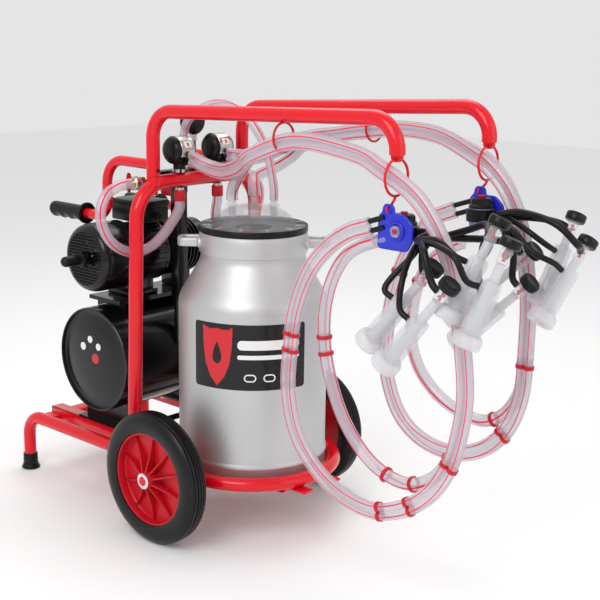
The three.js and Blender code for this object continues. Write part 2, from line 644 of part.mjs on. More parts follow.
function gauge() {
  const profile = [[0, -10], [28, -10], [28, -14], [GAUGE.radius, -14], [GAUGE.radius, 10], [26, 14], [0, 14]];
  const stem = cylinder(7, [0, 0, HEADER.top + GAP - GAUGE.z], [0, 0, -25], 10);
  const hexNut = cylinder(11, [0, 0, HEADER.top + GAP - GAUGE.z], [0, 0, HEADER.top + 16 - GAUGE.z], 6);
  return join(turned(profile, 16, 'x'), stem, hexNut);
}
const gaugePlace = [GAUGE.x, GAUGE.y, GAUGE.z];
add(machine, 'gauge', gauge(), 'brass', gaugePlace);
const needle = join(box(-12.2, -10.8, -1.2, 1.2, -8, 23), cylinder(4, [-13.4, 0, 0], [-10.4, 0, 0], 10));
add(machine, 'gauge_needle', needle, 'redPlastic', gaugePlace);

for (const [side, sign] of SIDES) {
  const { x, z, leverX, pivotY } = VALVE;
  const along = (radius, from, to, sides) => cylinder(radius, [x, sign * from, z], [x, sign * to, z], sides);
  const stem = cylinder(5, [leverX + GAP, sign * pivotY, z], [x, sign * pivotY, z], 10);
  const valve = join(along(11, 100.35, 136, 12), along(15, 135, 151, 6), along(16, 150, 166, 14),
    along(9, 165, 172, 10), stem);
  add(machine, `${side}_ball_valve`, valve, 'chrome');
  const lever = join(box(-4, 0, -5, 5, -23, 23), cylinder(7, [-5, 0, 0], [0, 0, 0], 12));
  add(machine, `${side}_valve_lever`, lever, 'redPlastic', [leverX, sign * pivotY, z]);
}

// ---- pulsators and hose tails on the arch ----------------------------------------------------------
const crossTube = cylinder(POST.radius + GAP + 0.5, [POST.x, -120, POST.z], [POST.x, 120, POST.z], 14);

for (const [side, sign] of SIDES) {
  const { x, y, z, radius, from, to } = PULSATOR;
  const half = (to - from) / 2;
  const profile = [
    [0, -half], [20, -half], [30, 5 - half], [radius, 14 - half],
    [radius, half - 14], [30, half - 5], [20, half], [0, half],
  ];
  const body = turned(profile, 14, 'y').translate([x, sign * y, z]);
  const stem = cylinder(15, [x, sign * y, 824], [x, sign * y, 862], 8).subtract(crossTube);
  const solids = [body, stem];
  for (const rise of [-9.5, 9.5]) {
    const height = 861 + rise;
    solids.push(cylinder(6, [x + 16, sign * y, height], [-101.8, sign * y, height], 6));
  }
  add(machine, `${side}_pulsator`, join(...solids), 'blackPlastic');
  const nut = cylinder(14, [0, 0, 0], [0, 0, 26], 10);
  const neck = cylinder(11, [0, 0, 20], [0, 0, 32.8], 10);
  add(machine, `${side}_hose_tail`, join(nut, neck), 'redPlastic', [x, sign * y, 759]);
}

// ---- swing arms, claws, teat cups and their hoses ----------------------------------------------------
function arm({ x, y, z, crest }) {
  const corners = [[PEG.x, y, ARM.bottom], [PEG.x, y, ARM.top], [x, y, crest], [x, y, z]];
  const tube = pipe(roundedPath(corners, [ARM.rootBend, ARM.tipBend], 4), ARM.radius, 10);
  const bore = cylinder(PEG.radius + 0.9, [PEG.x, y, ARM.bottom - 1], [PEG.x, y, PEG.top + 1], 10);
  const [flat, hole] = [6, z + ARM.hookHole];
  return tube.subtract(join(
    bore,
    box(x - 20, x + 20, y + flat, y + 20, z - 1, z + 20),
    box(x - 20, x + 20, y - 20, y - flat, z - 1, z + 20),
    cylinder(3.4, [x, y - 20, hole], [x, y + 20, hole], 10),
  ));
}

function armHook({ x, y, z }, claw) {
  const loop = new THREE.TorusGeometry(ARM.ring, 2, 5, 18).rotateY(Math.PI / 2);
  const centre = z + ARM.hookHole - ARM.ring;
  const eye = [claw.x - 16, claw.z + 31];
  const way = [
    [x, y, centre - ARM.ring + 1], [x - 4, y, centre - 44], [eye[0] + 1, y + 6, eye[1] + 11],
    [eye[0], y + 6, eye[1] + 2], [eye[0], y, eye[1] - 4], [eye[0], y - 6, eye[1] + 2], [eye[0], y - 6, eye[1] + 9],
  ];
  return join(toSolid(loop.translate(x, y, centre)), pipe(smooth(way, 8), 2, 5));
}

function clawBody(sign, claw) {
  const { x, z, milk, outlet: elbow, pulse } = claw;
  const y = sign * 145;
  const bowl = [x + 4, sign * 122];
  const outline = [
    [x - 38, z - 30], [x - 26, z - 43], [x + 32, z - 43], [x + 43, z - 30],
    [x + 43, z + 6], [x + 26, z + 26], [x - 38, z + 26],
  ];
  const solids = [plateXZ(outline, y - 2.5, y + 2.5)];
  solids.push(cylinder(12, [x - 16, y - 2.5, z + 30], [x - 16, y + 2.5, z + 30], 10));
  const bowlProfile = [[0, -36], [20, -36], [26, -28], [26, 4], [22, 12], [22, 24], [0, 26]];
  solids.push(turned(bowlProfile, 12).translate([bowl[0], bowl[1], z]));
  solids.push(box(x - 26, x + 22, sign * 124, y, z + 6, z + 22));
  const outlet = [milk, elbow, [bowl[0] - 6, bowl[1] + sign * 6, z - 26]];
  solids.push(pipe(roundedPath(outlet, [8], 2), 8, 8));
  for (const rise of [-9.5, 9.5]) {
    const start = new THREE.Vector3(pulse[0] - rise * 0.33, pulse[1], pulse[2] + rise * 0.945);
    const run = x - 24 - start.x;
    const end = start.clone().add(new THREE.Vector3(run, 0, run * 0.34));
    solids.push(cylinder(5.5, start.toArray(), end.toArray(), 6));
  }
  const eye = cylinder(6, [x - 16, y - 5, z + 31], [x - 16, y + 5, z + 31], 8);
  return join(...solids).subtract(eye);
}

function cupFrame({ mouth, cap }) {
  const start = new THREE.Vector3(...mouth);
  const axis = new THREE.Vector3(...cap).sub(start);
  const length = axis.length();
  axis.normalize();
  const upward = new THREE.Vector3(0, 0, 1).addScaledVector(axis, -axis.z).normalize();
  const across = axis.clone().cross(upward);
  const basis = new THREE.Matrix4().makeBasis(upward, across, axis);
  const rotation = new THREE.Euler().setFromRotationMatrix(basis);
  return { start, axis, length: length + 9, upward, rotation };
}

function teatCup({ length }) {
  const { mouth, shellFrom, shellTo, valve, capFrom } = CUP;
  const profile = [
    [0, 95], [11, 95], [11, 0], [mouth, 3], [mouth, shellFrom - 4], [21.5, shellFrom],
    [19, shellTo], [9, shellTo + 1], [9, valve - 13], [12, valve - 13], [12, valve + 13],
    [21, capFrom], [21, length], [0, length],
  ];
  return turned(profile, 8);
}

function tubeSet(sign, claw, cups) {
  const bowl = [claw.x + 4, sign * 122];
  const collar = turned(ring(27, 32, claw.z - 26, claw.z + 2), 12).translate([bowl[0], bowl[1], 0]);
  const solids = [collar];
  for (const cup of cups) {
    const { start, axis, upward } = cupFrame(cup);
    const valve = start.clone().addScaledVector(axis, CUP.valve);
    const milkStart = [bowl[0] + 29, bowl[1], claw.z - 18];
    const from = new THREE.Vector3(...cup.milkWay.at(-1)).sub(valve);
    from.addScaledVector(axis, -from.dot(axis)).normalize();
    const milkEnd = [30, 14].map((reach) => valve.clone().addScaledVector(from, reach).toArray());
    solids.push(pipe(smooth([milkStart, ...cup.milkWay, ...milkEnd], 6), 7, 5));
    const port = start.clone().addScaledVector(axis, CUP.pulsePort);
    const pulseStart = [bowl[0] + 29, bowl[1], claw.z - 4];
    const pulseEnd = [44, 21.3].map((reach) => port.clone().addScaledVector(upward, reach).toArray());
    solids.push(pipe(smooth([pulseStart, ...cup.pulseWay, ...pulseEnd], 6), 6, 5));
  }
  const plate = box(claw.x - 45, claw.x + 49, sign * 142, sign * 160, claw.z - 50, claw.z + 40);
  const bowlSpace = cylinder(26.5, [...bowl, claw.z - 60], [...bowl, claw.z + 5], 12);
  const outletSpace = box(claw.x - 60, claw.x - 8, sign * 105, sign * 160, claw.z - 60, claw.z + 40);
  const armSpace = box(claw.x - 30, claw.x + 26, sign * 123, sign * 160, claw.z + 5, claw.z + 24);
  return join(...solids).subtract(join(plate, bowlSpace, outletSpace, armSpace));
}

const MILK_HOSE = { diameter: 28, steps: 24 };
const PULSE_HOSE = { width: 38, thickness: 19, steps: 27 };
const SIDEWAYS = new THREE.Vector3(0, 1, 0);

for (const [side, sign] of SIDES) {
  const swing = group(`${side}_arm_assembly`);
  const claw = CLAWS[side];
  const cups = CUPS[side];
  add(swing, `${side}_arm`, arm(ARM_TIPS[side]), 'redPaint');
  add(swing, `${side}_arm_hook`, armHook(ARM_TIPS[side], claw), 'chrome');
  add(swing, `${side}_claw`, clawBody(sign, claw), 'bluePlastic');
  add(swing, `${side}_claw_tubes`, tubeSet(sign, claw, cups), 'lilacHose');
  cups.forEach((cup, i) => {
    const frame = cupFrame(cup);
    const turn = [frame.rotation.x, frame.rotation.y, frame.rotation.z];
    add(swing, `${side}_teat_cup_${i + 1}`, teatCup(frame), 'blackRubber', cup.mouth, turn);
  });
  const { milk, pulse } = HOSE_ROUTES[side];
  const milkHose = sweep(roundSection(MILK_HOSE.diameter / 2, 8), smooth(milk, MILK_HOSE.steps));
  add(swing, `${side}_milk_hose`, milkHose, 'lilacHose');
  const flat = flatSection(PULSE_HOSE.width, PULSE_HOSE.thickness);
  const pulseHose = sweep(flat, smooth(pulse, PULSE_HOSE.steps), SIDEWAYS);
  add(swing, `${side}_pulse_hose`, pulseHose, 'lilacHose');
  const valveWay = VALVE_HOSE_ROUTE.map(([x, y, z]) => [x, sign * y, z]);
  const valveHose = sweep(roundSection(12.5, 8), smooth(valveWay, 10));
  add(machine, `${side}_valve_hose`, valveHose, 'lilacHose');
}
const vacuumHose = sweep(roundSection(10.5, 8), smooth(VACUUM_HOSE_ROUTE, 9));
add(machine, 'vacuum_hose', vacuumHose, 'lilacHose');

export default machine;
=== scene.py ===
"""Looks of the milking machine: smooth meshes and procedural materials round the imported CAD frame.

Measures are in millimetres in the machine's own layout, X = 0 at the axle; place() turns them into
the row frame in metres.
"""

import json
import math

import bmesh
import bpy
from mathutils import Matrix, Vector

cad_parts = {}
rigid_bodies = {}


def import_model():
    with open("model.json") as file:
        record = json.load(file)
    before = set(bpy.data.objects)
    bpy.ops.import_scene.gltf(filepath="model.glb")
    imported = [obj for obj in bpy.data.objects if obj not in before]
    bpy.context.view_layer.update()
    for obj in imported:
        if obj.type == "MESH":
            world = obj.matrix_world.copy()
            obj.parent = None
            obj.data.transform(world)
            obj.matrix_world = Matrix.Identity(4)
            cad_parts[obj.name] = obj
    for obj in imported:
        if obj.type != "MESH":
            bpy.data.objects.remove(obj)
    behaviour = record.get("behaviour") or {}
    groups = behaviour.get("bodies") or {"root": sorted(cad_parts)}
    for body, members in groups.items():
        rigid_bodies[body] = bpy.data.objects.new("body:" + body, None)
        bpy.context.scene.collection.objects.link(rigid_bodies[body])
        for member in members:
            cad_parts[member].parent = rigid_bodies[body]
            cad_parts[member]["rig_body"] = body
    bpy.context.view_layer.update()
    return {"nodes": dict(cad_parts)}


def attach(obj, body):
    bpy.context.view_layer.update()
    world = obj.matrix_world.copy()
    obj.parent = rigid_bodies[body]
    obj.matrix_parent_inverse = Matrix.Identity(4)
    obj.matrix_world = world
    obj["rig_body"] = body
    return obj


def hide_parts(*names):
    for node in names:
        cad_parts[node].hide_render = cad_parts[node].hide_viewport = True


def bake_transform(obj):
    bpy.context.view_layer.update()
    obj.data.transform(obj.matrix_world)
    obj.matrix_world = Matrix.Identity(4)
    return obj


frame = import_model()
nodes = frame["nodes"]

MIDDLE_X = 125.81
SIDES = (("right", -1), ("left", 1))
UP = Vector((0, 0, 1))
LEFTWARD = Vector((0, 1, 0))
RIGHTWARD = Vector((0, -1, 0))
FORWARD = Vector((1, 0, 0))


def place(x, y, z):
    return Vector(((x - MIDDLE_X) / 1000, y / 1000, z / 1000))


# ---- camera, floor and light ------------------------------------------------------------
CAMERA_AT = (1967.7, -1956.1, 1169.9)
CAMERA_HEADING = math.radians(42.18)
CAMERA_DIP = math.radians(12.98)
CAMERA_ROLL = math.radians(0.871)
CAMERA_LENS = 71.36


def make_camera():
    a, p, roll = CAMERA_HEADING, CAMERA_DIP, CAMERA_ROLL
    ahead = Vector((-math.sin(a) * math.cos(p), math.cos(a) * math.cos(p), -math.sin(p)))
    right = Vector((math.cos(a), math.sin(a), 0))
    up = right.cross(ahead)
    right, up = right * math.cos(roll) + up * math.sin(roll), up * math.cos(roll) - right * math.sin(roll)
    data = bpy.data.cameras.new("camera")
    data.lens = CAMERA_LENS
    data.sensor_width = 36
    camera = bpy.data.objects.new("camera", data)
    turn = Matrix((right, up, -ahead)).transposed().to_4x4()
    camera.matrix_world = Matrix.Translation(place(*CAMERA_AT)) @ turn
    bpy.context.scene.collection.objects.link(camera)
    bpy.context.scene.camera = camera


def area_light(name, at, size, power, target=(200, 0, 450)):
    data = bpy.data.lights.new(name, "AREA")
    data.size = size
    data.energy = power
    lamp = bpy.data.objects.new(name, data)
    lamp.location = place(*at)
    lamp.rotation_euler = (place(*target) - lamp.location).to_track_quat("-Z", "Y").to_euler()
    bpy.context.scene.collection.objects.link(lamp)


def make_studio():
    scene = bpy.context.scene
    scene.view_settings.view_transform = "Standard"
    world = bpy.data.worlds.new("studio")
    world.use_nodes = True
    world.node_tree.nodes["Background"].inputs["Color"].default_value = (1.0, 1.0, 1.0, 1)
    world.node_tree.nodes["Background"].inputs["Strength"].default_value = 0.78
    scene.world = world
    area_light("key", (900, -2600, 2600), 1.8, 42)
    area_light("fill", (3000, 600, 1600), 2.2, 15)
    area_light("top", (-600, 900, 3000), 2.0, 26)
    mesh = bpy.data.meshes.new("floor")
    r = 9000
    mesh.from_pydata([place(-r, -r, 0), place(r, -r, 0), place(r, r, 0), place(-r, r, 0)], [], [(0, 1, 2, 3)])
    floor = bpy.data.objects.new("floor", mesh)
    scene.collection.objects.link(floor)
    material = bpy.data.materials.new("floor")
    material.use_nodes = True
    shader = material.node_tree.nodes["Principled BSDF"]
    shader.inputs["Base Color"].default_value = (0.93, 0.93, 0.93, 1)
    shader.inputs["Roughness"].default_value = 0.75
    mesh.materials.append(material)


# ---- materials --------------------------------------------------------------------------
def finish(name, color, roughness, metallic=0.0, alpha=1.0, coat=0.0, shade=0.85, grain=60.0, bump=0.05,
           stripes=None, brushed=None, specular=0.5):
    """A procedural finish: cloudy colour, uneven gloss and a fine bump; stripes run along a tube."""
    material = bpy.data.materials.new(name)
    material.use_nodes = True
    tree = material.node_tree
    shader = tree.nodes["Principled BSDF"]
    shader.inputs["Metallic"].default_value = metallic
    shader.inputs["Alpha"].default_value = alpha
    shader.inputs["Coat Weight"].default_value = coat
    shader.inputs["Specular IOR Level"].default_value = specular
    shader.inputs["Coat Roughness"].default_value = 0.06

    def node(kind, **values):
        made = tree.nodes.new(kind)
        for key, value in values.items():
            if key in made.inputs:
                made.inputs[key].default_value = value
            else:
                setattr(made, key, value)
        return made

    def maths(operation, source, second=0.5):
        made = node("ShaderNodeMath", operation=operation)
        made.inputs[1].default_value = second
        link(source, made.inputs[0])
        return made.outputs[0]

    def spread(source, low, high):
        made = node("ShaderNodeMapRange")
        made.inputs["To Min"].default_value = low
        made.inputs["To Max"].default_value = high
        link(source, made.inputs["Value"])
        return made.outputs[0]

    link = tree.links.new
    where = node("ShaderNodeTexCoord")
    clouds = node("ShaderNodeTexNoise", Scale=9.0, Detail=5.0, Roughness=0.6)
    link(where.outputs["Object"], clouds.inputs["Vector"])
    colours = node("ShaderNodeMix", data_type="RGBA")
    dark = [c * shade for c in color]
    for socket in colours.inputs:
        if socket.type == "RGBA" and socket.name == "A":
            socket.default_value = (*dark, 1)
        if socket.type == "RGBA" and socket.name == "B":
            socket.default_value = (*color, 1)
    link(clouds.outputs["Fac"], colours.inputs[0])
    tint = colours.outputs[2]
    if stripes:
        count, width, stripe_color = stripes
        uv = node("ShaderNodeSeparateXYZ")
        link(where.outputs["UV"], uv.inputs[0])
        part = maths("FRACT", maths("MULTIPLY", uv.outputs["X"], count))
        off = maths("ABSOLUTE", maths("SUBTRACT", part, 0.5))
        inside = maths("LESS_THAN", off, width * count / 2)
        painted = node("ShaderNodeMix", data_type="RGBA")
        link(inside, painted.inputs[0])
        link(tint, painted.inputs[6])
        painted.inputs[7].default_value = (*stripe_color, 1)
        tint = painted.outputs[2]
        link(spread(inside, alpha, 0.95), shader.inputs["Alpha"])
    link(tint, shader.inputs["Base Color"])
    speckle = node("ShaderNodeTexNoise", Scale=grain, Detail=4.0)
    if brushed:
        stretch = node("ShaderNodeMapping")
        stretch.inputs["Scale"].default_value = brushed
        link(where.outputs["Object"], stretch.inputs["Vector"])
        link(stretch.outputs[0], speckle.inputs["Vector"])
    else:
        link(where.outputs["Object"], speckle.inputs["Vector"])
    gloss = spread(speckle.outputs["Fac"], max(roughness - 0.06, 0.02), min(roughness + 0.1, 1))
    link(gloss, shader.inputs["Roughness"])
    relief = node("ShaderNodeBump")
    relief.inputs["Strength"].default_value = bump
    relief.inputs["Distance"].default_value = 0.001
    link(speckle.outputs["Fac"], relief.inputs["Height"])
    link(relief.outputs[0], shader.inputs["Normal"])
    return material


RED = finish("red_paint", (0.74, 0.003, 0.014), 0.2, coat=0.22, shade=0.93, grain=220, bump=0.005,
             specular=0.3)
RED_PLASTIC = finish("red_plastic", (0.58, 0.005, 0.016), 0.36, shade=0.85, grain=300, bump=0.05,
                     specular=0.35)
BLACK = finish("black_paint", (0.005, 0.005, 0.006), 0.16, coat=0.1, shade=0.6, grain=180, bump=0.05,
               specular=0.3)
BLACK_PLASTIC = finish("black_plastic", (0.007, 0.007, 0.008), 0.3, shade=0.6, grain=420, bump=0.08,
                       specular=0.25)
RUBBER = finish("black_rubber", (0.006, 0.006, 0.007), 0.3, shade=0.6, grain=500, bump=0.06, specular=0.25)
TYRE = finish("tyre_rubber", (0.004, 0.004, 0.005), 0.3, shade=0.6, grain=420, bump=0.05, specular=0.3)
CHROME = finish("chrome", (0.78, 0.78, 0.8), 0.12, metallic=1, shade=0.9, grain=90, bump=0.02)
NICKEL = finish("nickel", (0.62, 0.60, 0.56), 0.22, metallic=1, shade=0.85, grain=140, bump=0.04)
ALUMINIUM = finish("can_aluminium", (0.60, 0.60, 0.61), 0.46, metallic=0.9, shade=0.9, grain=14, bump=0.05,
                   brushed=(2, 2, 60))
BRASS = finish("brass", (0.75, 0.5, 0.18), 0.22, metallic=1, shade=0.8, grain=110, bump=0.05)
BLUE = finish("blue_plastic", (0.012, 0.024, 0.62), 0.3, shade=0.8, grain=260, bump=0.04)
CLEAR = finish("clear_plastic", (0.78, 0.79, 0.83), 0.06, alpha=0.26, shade=0.95, coat=0.6, grain=40,
               bump=0.02)
GLASS = finish("lid_glass", (0.5, 0.51, 0.55), 0.05, alpha=0.16, shade=0.95, coat=0.8, grain=40, bump=0.01)
LINER = finish("liner_silicone", (0.76, 0.75, 0.78), 0.24, alpha=0.6, shade=0.92, grain=60, bump=0.05)
STRIPE_RED = (0.75, 0.008, 0.05)
HOSE = finish("clear_hose", (0.66, 0.61, 0.69), 0.12, alpha=0.52, coat=0.5, shade=0.85, grain=18, bump=0.05,
              stripes=(3, 0.05, STRIPE_RED))
TWIN = finish("twin_hose", (0.66, 0.61, 0.69), 0.12, alpha=0.52, coat=0.5, shade=0.85, grain=18, bump=0.05,
              stripes=(4, 0.024, STRIPE_RED))
LABEL_BLACK = finish("label_black", (0.006, 0.006, 0.007), 0.25, coat=0.1, shade=0.9, grain=50, bump=0.02,
                     specular=0.3)
LABEL_WHITE = finish("label_white", (0.8, 0.8, 0.78), 0.35, shade=0.95, grain=50, bump=0.02)
LABEL_RED = finish("label_red", (0.62, 0.01, 0.02), 0.3, shade=0.9, grain=50, bump=0.02)
DIAL = finish("gauge_dial", (0.82, 0.82, 0.8), 0.4, shade=0.95, grain=60, bump=0.02)


# ---- mesh building ----------------------------------------------------------------------
def rounded_path(corners, radii, steps=10):
    """Straight runs between the corners, each corner turned into an arc of its radius."""
    points = [Vector(c) for c in corners]
    path = [points[0]]
    for i in range(1, len(points) - 1):
        back = (points[i - 1] - points[i]).normalized()
        ahead = (points[i + 1] - points[i]).normalized()
        half = back.angle(ahead) / 2
        radius = radii[i - 1]
        centre = points[i] + (back + ahead).normalized() * (radius / math.sin(half))
        start = points[i] + back * (radius / math.tan(half)) - centre
        end = points[i] + ahead * (radius / math.tan(half)) - centre
        hinge = start.cross(end).normalized()
        for k in range(steps + 1):
            point = Matrix.Rotation(start.angle(end) * k / steps, 3, hinge) @ start + centre
            if (point - path[-1]).length > 0.05:
                path.append(point)
    path.append(points[-1])
    return path


def smooth_path(points, spacing=9.0):
    """An even run of points on the centripetal curve through the given ones."""
    knots = [Vector(p) for p in points]
    knots = [2 * knots[0] - knots[1], *knots, 2 * knots[-1] - knots[-2]]
    fine = []
    for i in range(1, len(knots) - 2):
        p0, p1, p2, p3 = knots[i - 1:i + 3]
        t1 = (p1 - p0).length ** 0.5
        t2 = t1 + (p2 - p1).length ** 0.5
        t3 = t2 + (p3 - p2).length ** 0.5
        for k in range(12):
            t = t1 + (t2 - t1) * k / 12
            a1 = p0 * ((t1 - t) / t1) + p1 * (t / t1)
            a2 = p1 * ((t2 - t) / (t2 - t1)) + p2 * ((t - t1) / (t2 - t1))
            a3 = p2 * ((t3 - t) / (t3 - t2)) + p3 * ((t - t2) / (t3 - t2))
            b1 = a1 * ((t2 - t) / t2) + a2 * (t / t2)
            b2 = a2 * ((t3 - t) / (t3 - t1)) + a3 * ((t - t1) / (t3 - t1))
            fine.append(b1 * ((t2 - t) / (t2 - t1)) + b2 * ((t - t1) / (t2 - t1)))
    fine.append(knots[-2])
    return even_path(fine, spacing)


def even_path(points, spacing):
    lengths = [0.0]
    for a, b in zip(points, points[1:]):
        lengths.append(lengths[-1] + (b - a).length)
    count = max(2, round(lengths[-1] / spacing))
    path, j = [], 0
    for i in range(count + 1):
        goal = lengths[-1] * i / count
        while j < len(points) - 2 and lengths[j + 1] < goal:
            j += 1
        span = max(lengths[j + 1] - lengths[j], 1e-9)
        path.append(points[j].lerp(points[j + 1], (goal - lengths[j]) / span))
    return path


def circle(radius, sides):
    return [(radius * math.cos(2 * math.pi * i / sides), radius * math.sin(2 * math.pi * i / sides))
            for i in range(sides)]


def around(centre, first, second, radius, turn):
    """The spot at radius from centre, turned from the way of first towards that of second."""
    return Vector(centre) + (first * math.cos(turn) + second * math.sin(turn)) * radius


def hoop(centre, first, second, radius, steps):
    return [around(centre, first, second, radius, 2 * math.pi * i / steps) for i in range(steps + 1)]


def twin_section(width, thickness, sides=20):
    """Two round tubes moulded side by side, seen end on."""
    r = thickness / 2
    shift = width / 2 - r
    points = []
    for centre, start in ((shift, -148), (-shift, 32)):
        for i in range(sides):
            turn = math.radians(start + 296 * i / (sides - 1))
            points.append((centre + r * math.cos(turn), r * math.sin(turn)))
    return points


class Piece:
    """One visible piece, gathered from closed shells drawn in the machine's millimetres."""

    def __init__(self, name):
        self.name = name
        self.bm = bmesh.new()
        self.uv = self.bm.loops.layers.uv.new("along")
        self.materials = []

    def material(self, material):
        if material not in self.materials:
            self.materials.append(material)
        return self.materials.index(material)

    def skin(self, rings, material, closed=False, lengths=None):
        """Faces between rings of equal size; a ring of one point is a pole."""
        index = self.material(material)
        verts = [[self.bm.verts.new(p) for p in ring] for ring in rings]
        pairs = list(zip(verts, verts[1:]))
        if closed:
            pairs.append((verts[-1], verts[0]))
        for k, (a, b) in enumerate(pairs):
            sides = max(len(a), len(b))
            for i in range(sides):
                j = (i + 1) % sides
                corners = [a[i % len(a)], a[j % len(a)], b[j % len(b)], b[i % len(b)]]
                unique = list(dict.fromkeys(corners))
                if len(unique) < 3:
                    continue
                face = self.bm.faces.new(unique)
                face.material_index = index
                if lengths:
                    marks = {a[i % len(a)]: (i, k), a[j % len(a)]: (i + 1, k),
                             b[j % len(b)]: (i + 1, k + 1), b[i % len(b)]: (i, k + 1)}
                    for loop in face.loops:
                        u, v = marks[loop.vert]
                        loop[self.uv].uv = (u / sides, lengths[v])
        return verts

    def turned(self, profile, origin, axis, material, sides=48):
        origin = Vector(origin)
        turn = UP.rotation_difference(Vector(axis)).to_matrix()
        rings = []
        for r, h in profile:
            if r < 1e-6:
                rings.append([origin + turn @ (UP * h)])
            else:
                rings.append([origin + turn @ Vector((x, y, h)) for x, y in circle(r, sides)])
        closed = len(rings[0]) > 1 and len(rings[-1]) > 1
        self.skin(rings, material, closed=closed)
        return self

    def rod(self, start, end, radius, material, sides=28, chamfer=0.8):
        start, end = Vector(start), Vector(end)
        h = (end - start).length
        c = min(chamfer, radius / 3, h / 3)
        profile = [(0, 0), (radius - c, 0), (radius, c), (radius, h - c), (radius - c, h), (0, h)]
        return self.turned(profile, start, end - start, material, sides)

    def tube(self, path, radius, material, sides=22, section=None, side=None):
        """A swept tube with closed ends. side keeps a flat section from twisting."""
        section = section or circle(radius, sides)
        normal = None
        rings, lengths, run = [], [], 0.0
        for i, point in enumerate(path):
            before = path[max(i - 1, 0)]
            after = path[min(i + 1, len(path) - 1)]
            tangent = (after - before).normalized()
            if side is not None:
                second = (side - tangent * tangent.dot(side)).normalized()
                normal = second.cross(tangent)
            elif normal is None:
                normal = tangent.orthogonal().normalized()
                second = tangent.cross(normal)
            else:
                normal = (normal - tangent * tangent.dot(normal)).normalized()
                second = tangent.cross(normal)
            run += (point - before).length / 1000
            lengths.append(run)
            rings.append([point + normal * x + second * y for x, y in section])
        verts = self.skin(rings, material, lengths=lengths)
        for ring in (verts[0], verts[-1]):
            face = self.bm.faces.new(ring)
            face.material_index = self.material(material)
        return self

    def merge(self, other, material):
        index = self.material(material)
        for face in other.faces:
            face.material_index = index
        mesh = bpy.data.meshes.new("shell")
        other.to_mesh(mesh)
        other.free()
        self.bm.from_mesh(mesh)
        bpy.data.meshes.remove(mesh)
        return self

    def block(self, low, high, material, bevel=1.5, turn=None, about=(0, 0, 0)):
        other = bmesh.new()
        low, high = Vector(low), Vector(high)
        bmesh.ops.create_cube(other, size=1)
        for v in other.verts:
            v.co = Vector([low[k] + (high[k] - low[k]) * (v.co[k] + 0.5) for k in range(3)])
        if bevel:
            bmesh.ops.bevel(other, geom=other.edges[:], offset=bevel, segments=2, profile=0.5, affect="EDGES")
        if turn:
            about = Vector(about)
            for v in other.verts:
                v.co = turn @ (v.co - about) + about
        return self.merge(other, material)

    def plate(self, outline, y0, y1, material, bevel=0.8):
        """A flat plate whose outline is in X and Z."""
        other = bmesh.new()
        face = other.faces.new([other.verts.new((x, y0, z)) for x, z in outline])
        made = bmesh.ops.extrude_face_region(other, geom=[face])
        for item in made["geom"]:
            if isinstance(item, bmesh.types.BMVert):
                item.co.y = y1
        if bevel:
            sharp = [e for e in other.edges if e.calc_face_angle(0) > 0.5]
            bmesh.ops.bevel(other, geom=sharp, offset=bevel, segments=2, profile=0.5, affect="EDGES")
        return self.merge(other, material)

    def done(self, angle=35):
        bmesh.ops.recalc_face_normals(self.bm, faces=self.bm.faces[:])
        for v in self.bm.verts:
            v.co = place(*v.co)
        mesh = bpy.data.meshes.new(self.name)
        self.bm.to_mesh(mesh)
        self.bm.free()
        for material in self.materials:
            mesh.materials.append(material)
        mesh.shade_smooth()
        mesh.set_sharp_from_angle(angle=math.radians(angle))
        made = bpy.data.objects.new(self.name, mesh)
        bpy.context.scene.collection.objects.link(made)
        return made

    def fit(self, node, body=None, angle=35):
        """Finish the piece and let it stand for a CAD node on that node's body."""
        made = self.done(angle)
        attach(made, body or nodes[node]["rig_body"])
        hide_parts(node)
        return made


make_camera()
make_studio()

# ---- hoses ------------------------------------------------------------------------------
MILK_HOSE_D = 28
TWIN_W, TWIN_T = 38, 19
VACUUM_HOSE_D = 21
VALVE_HOSE_D = 25

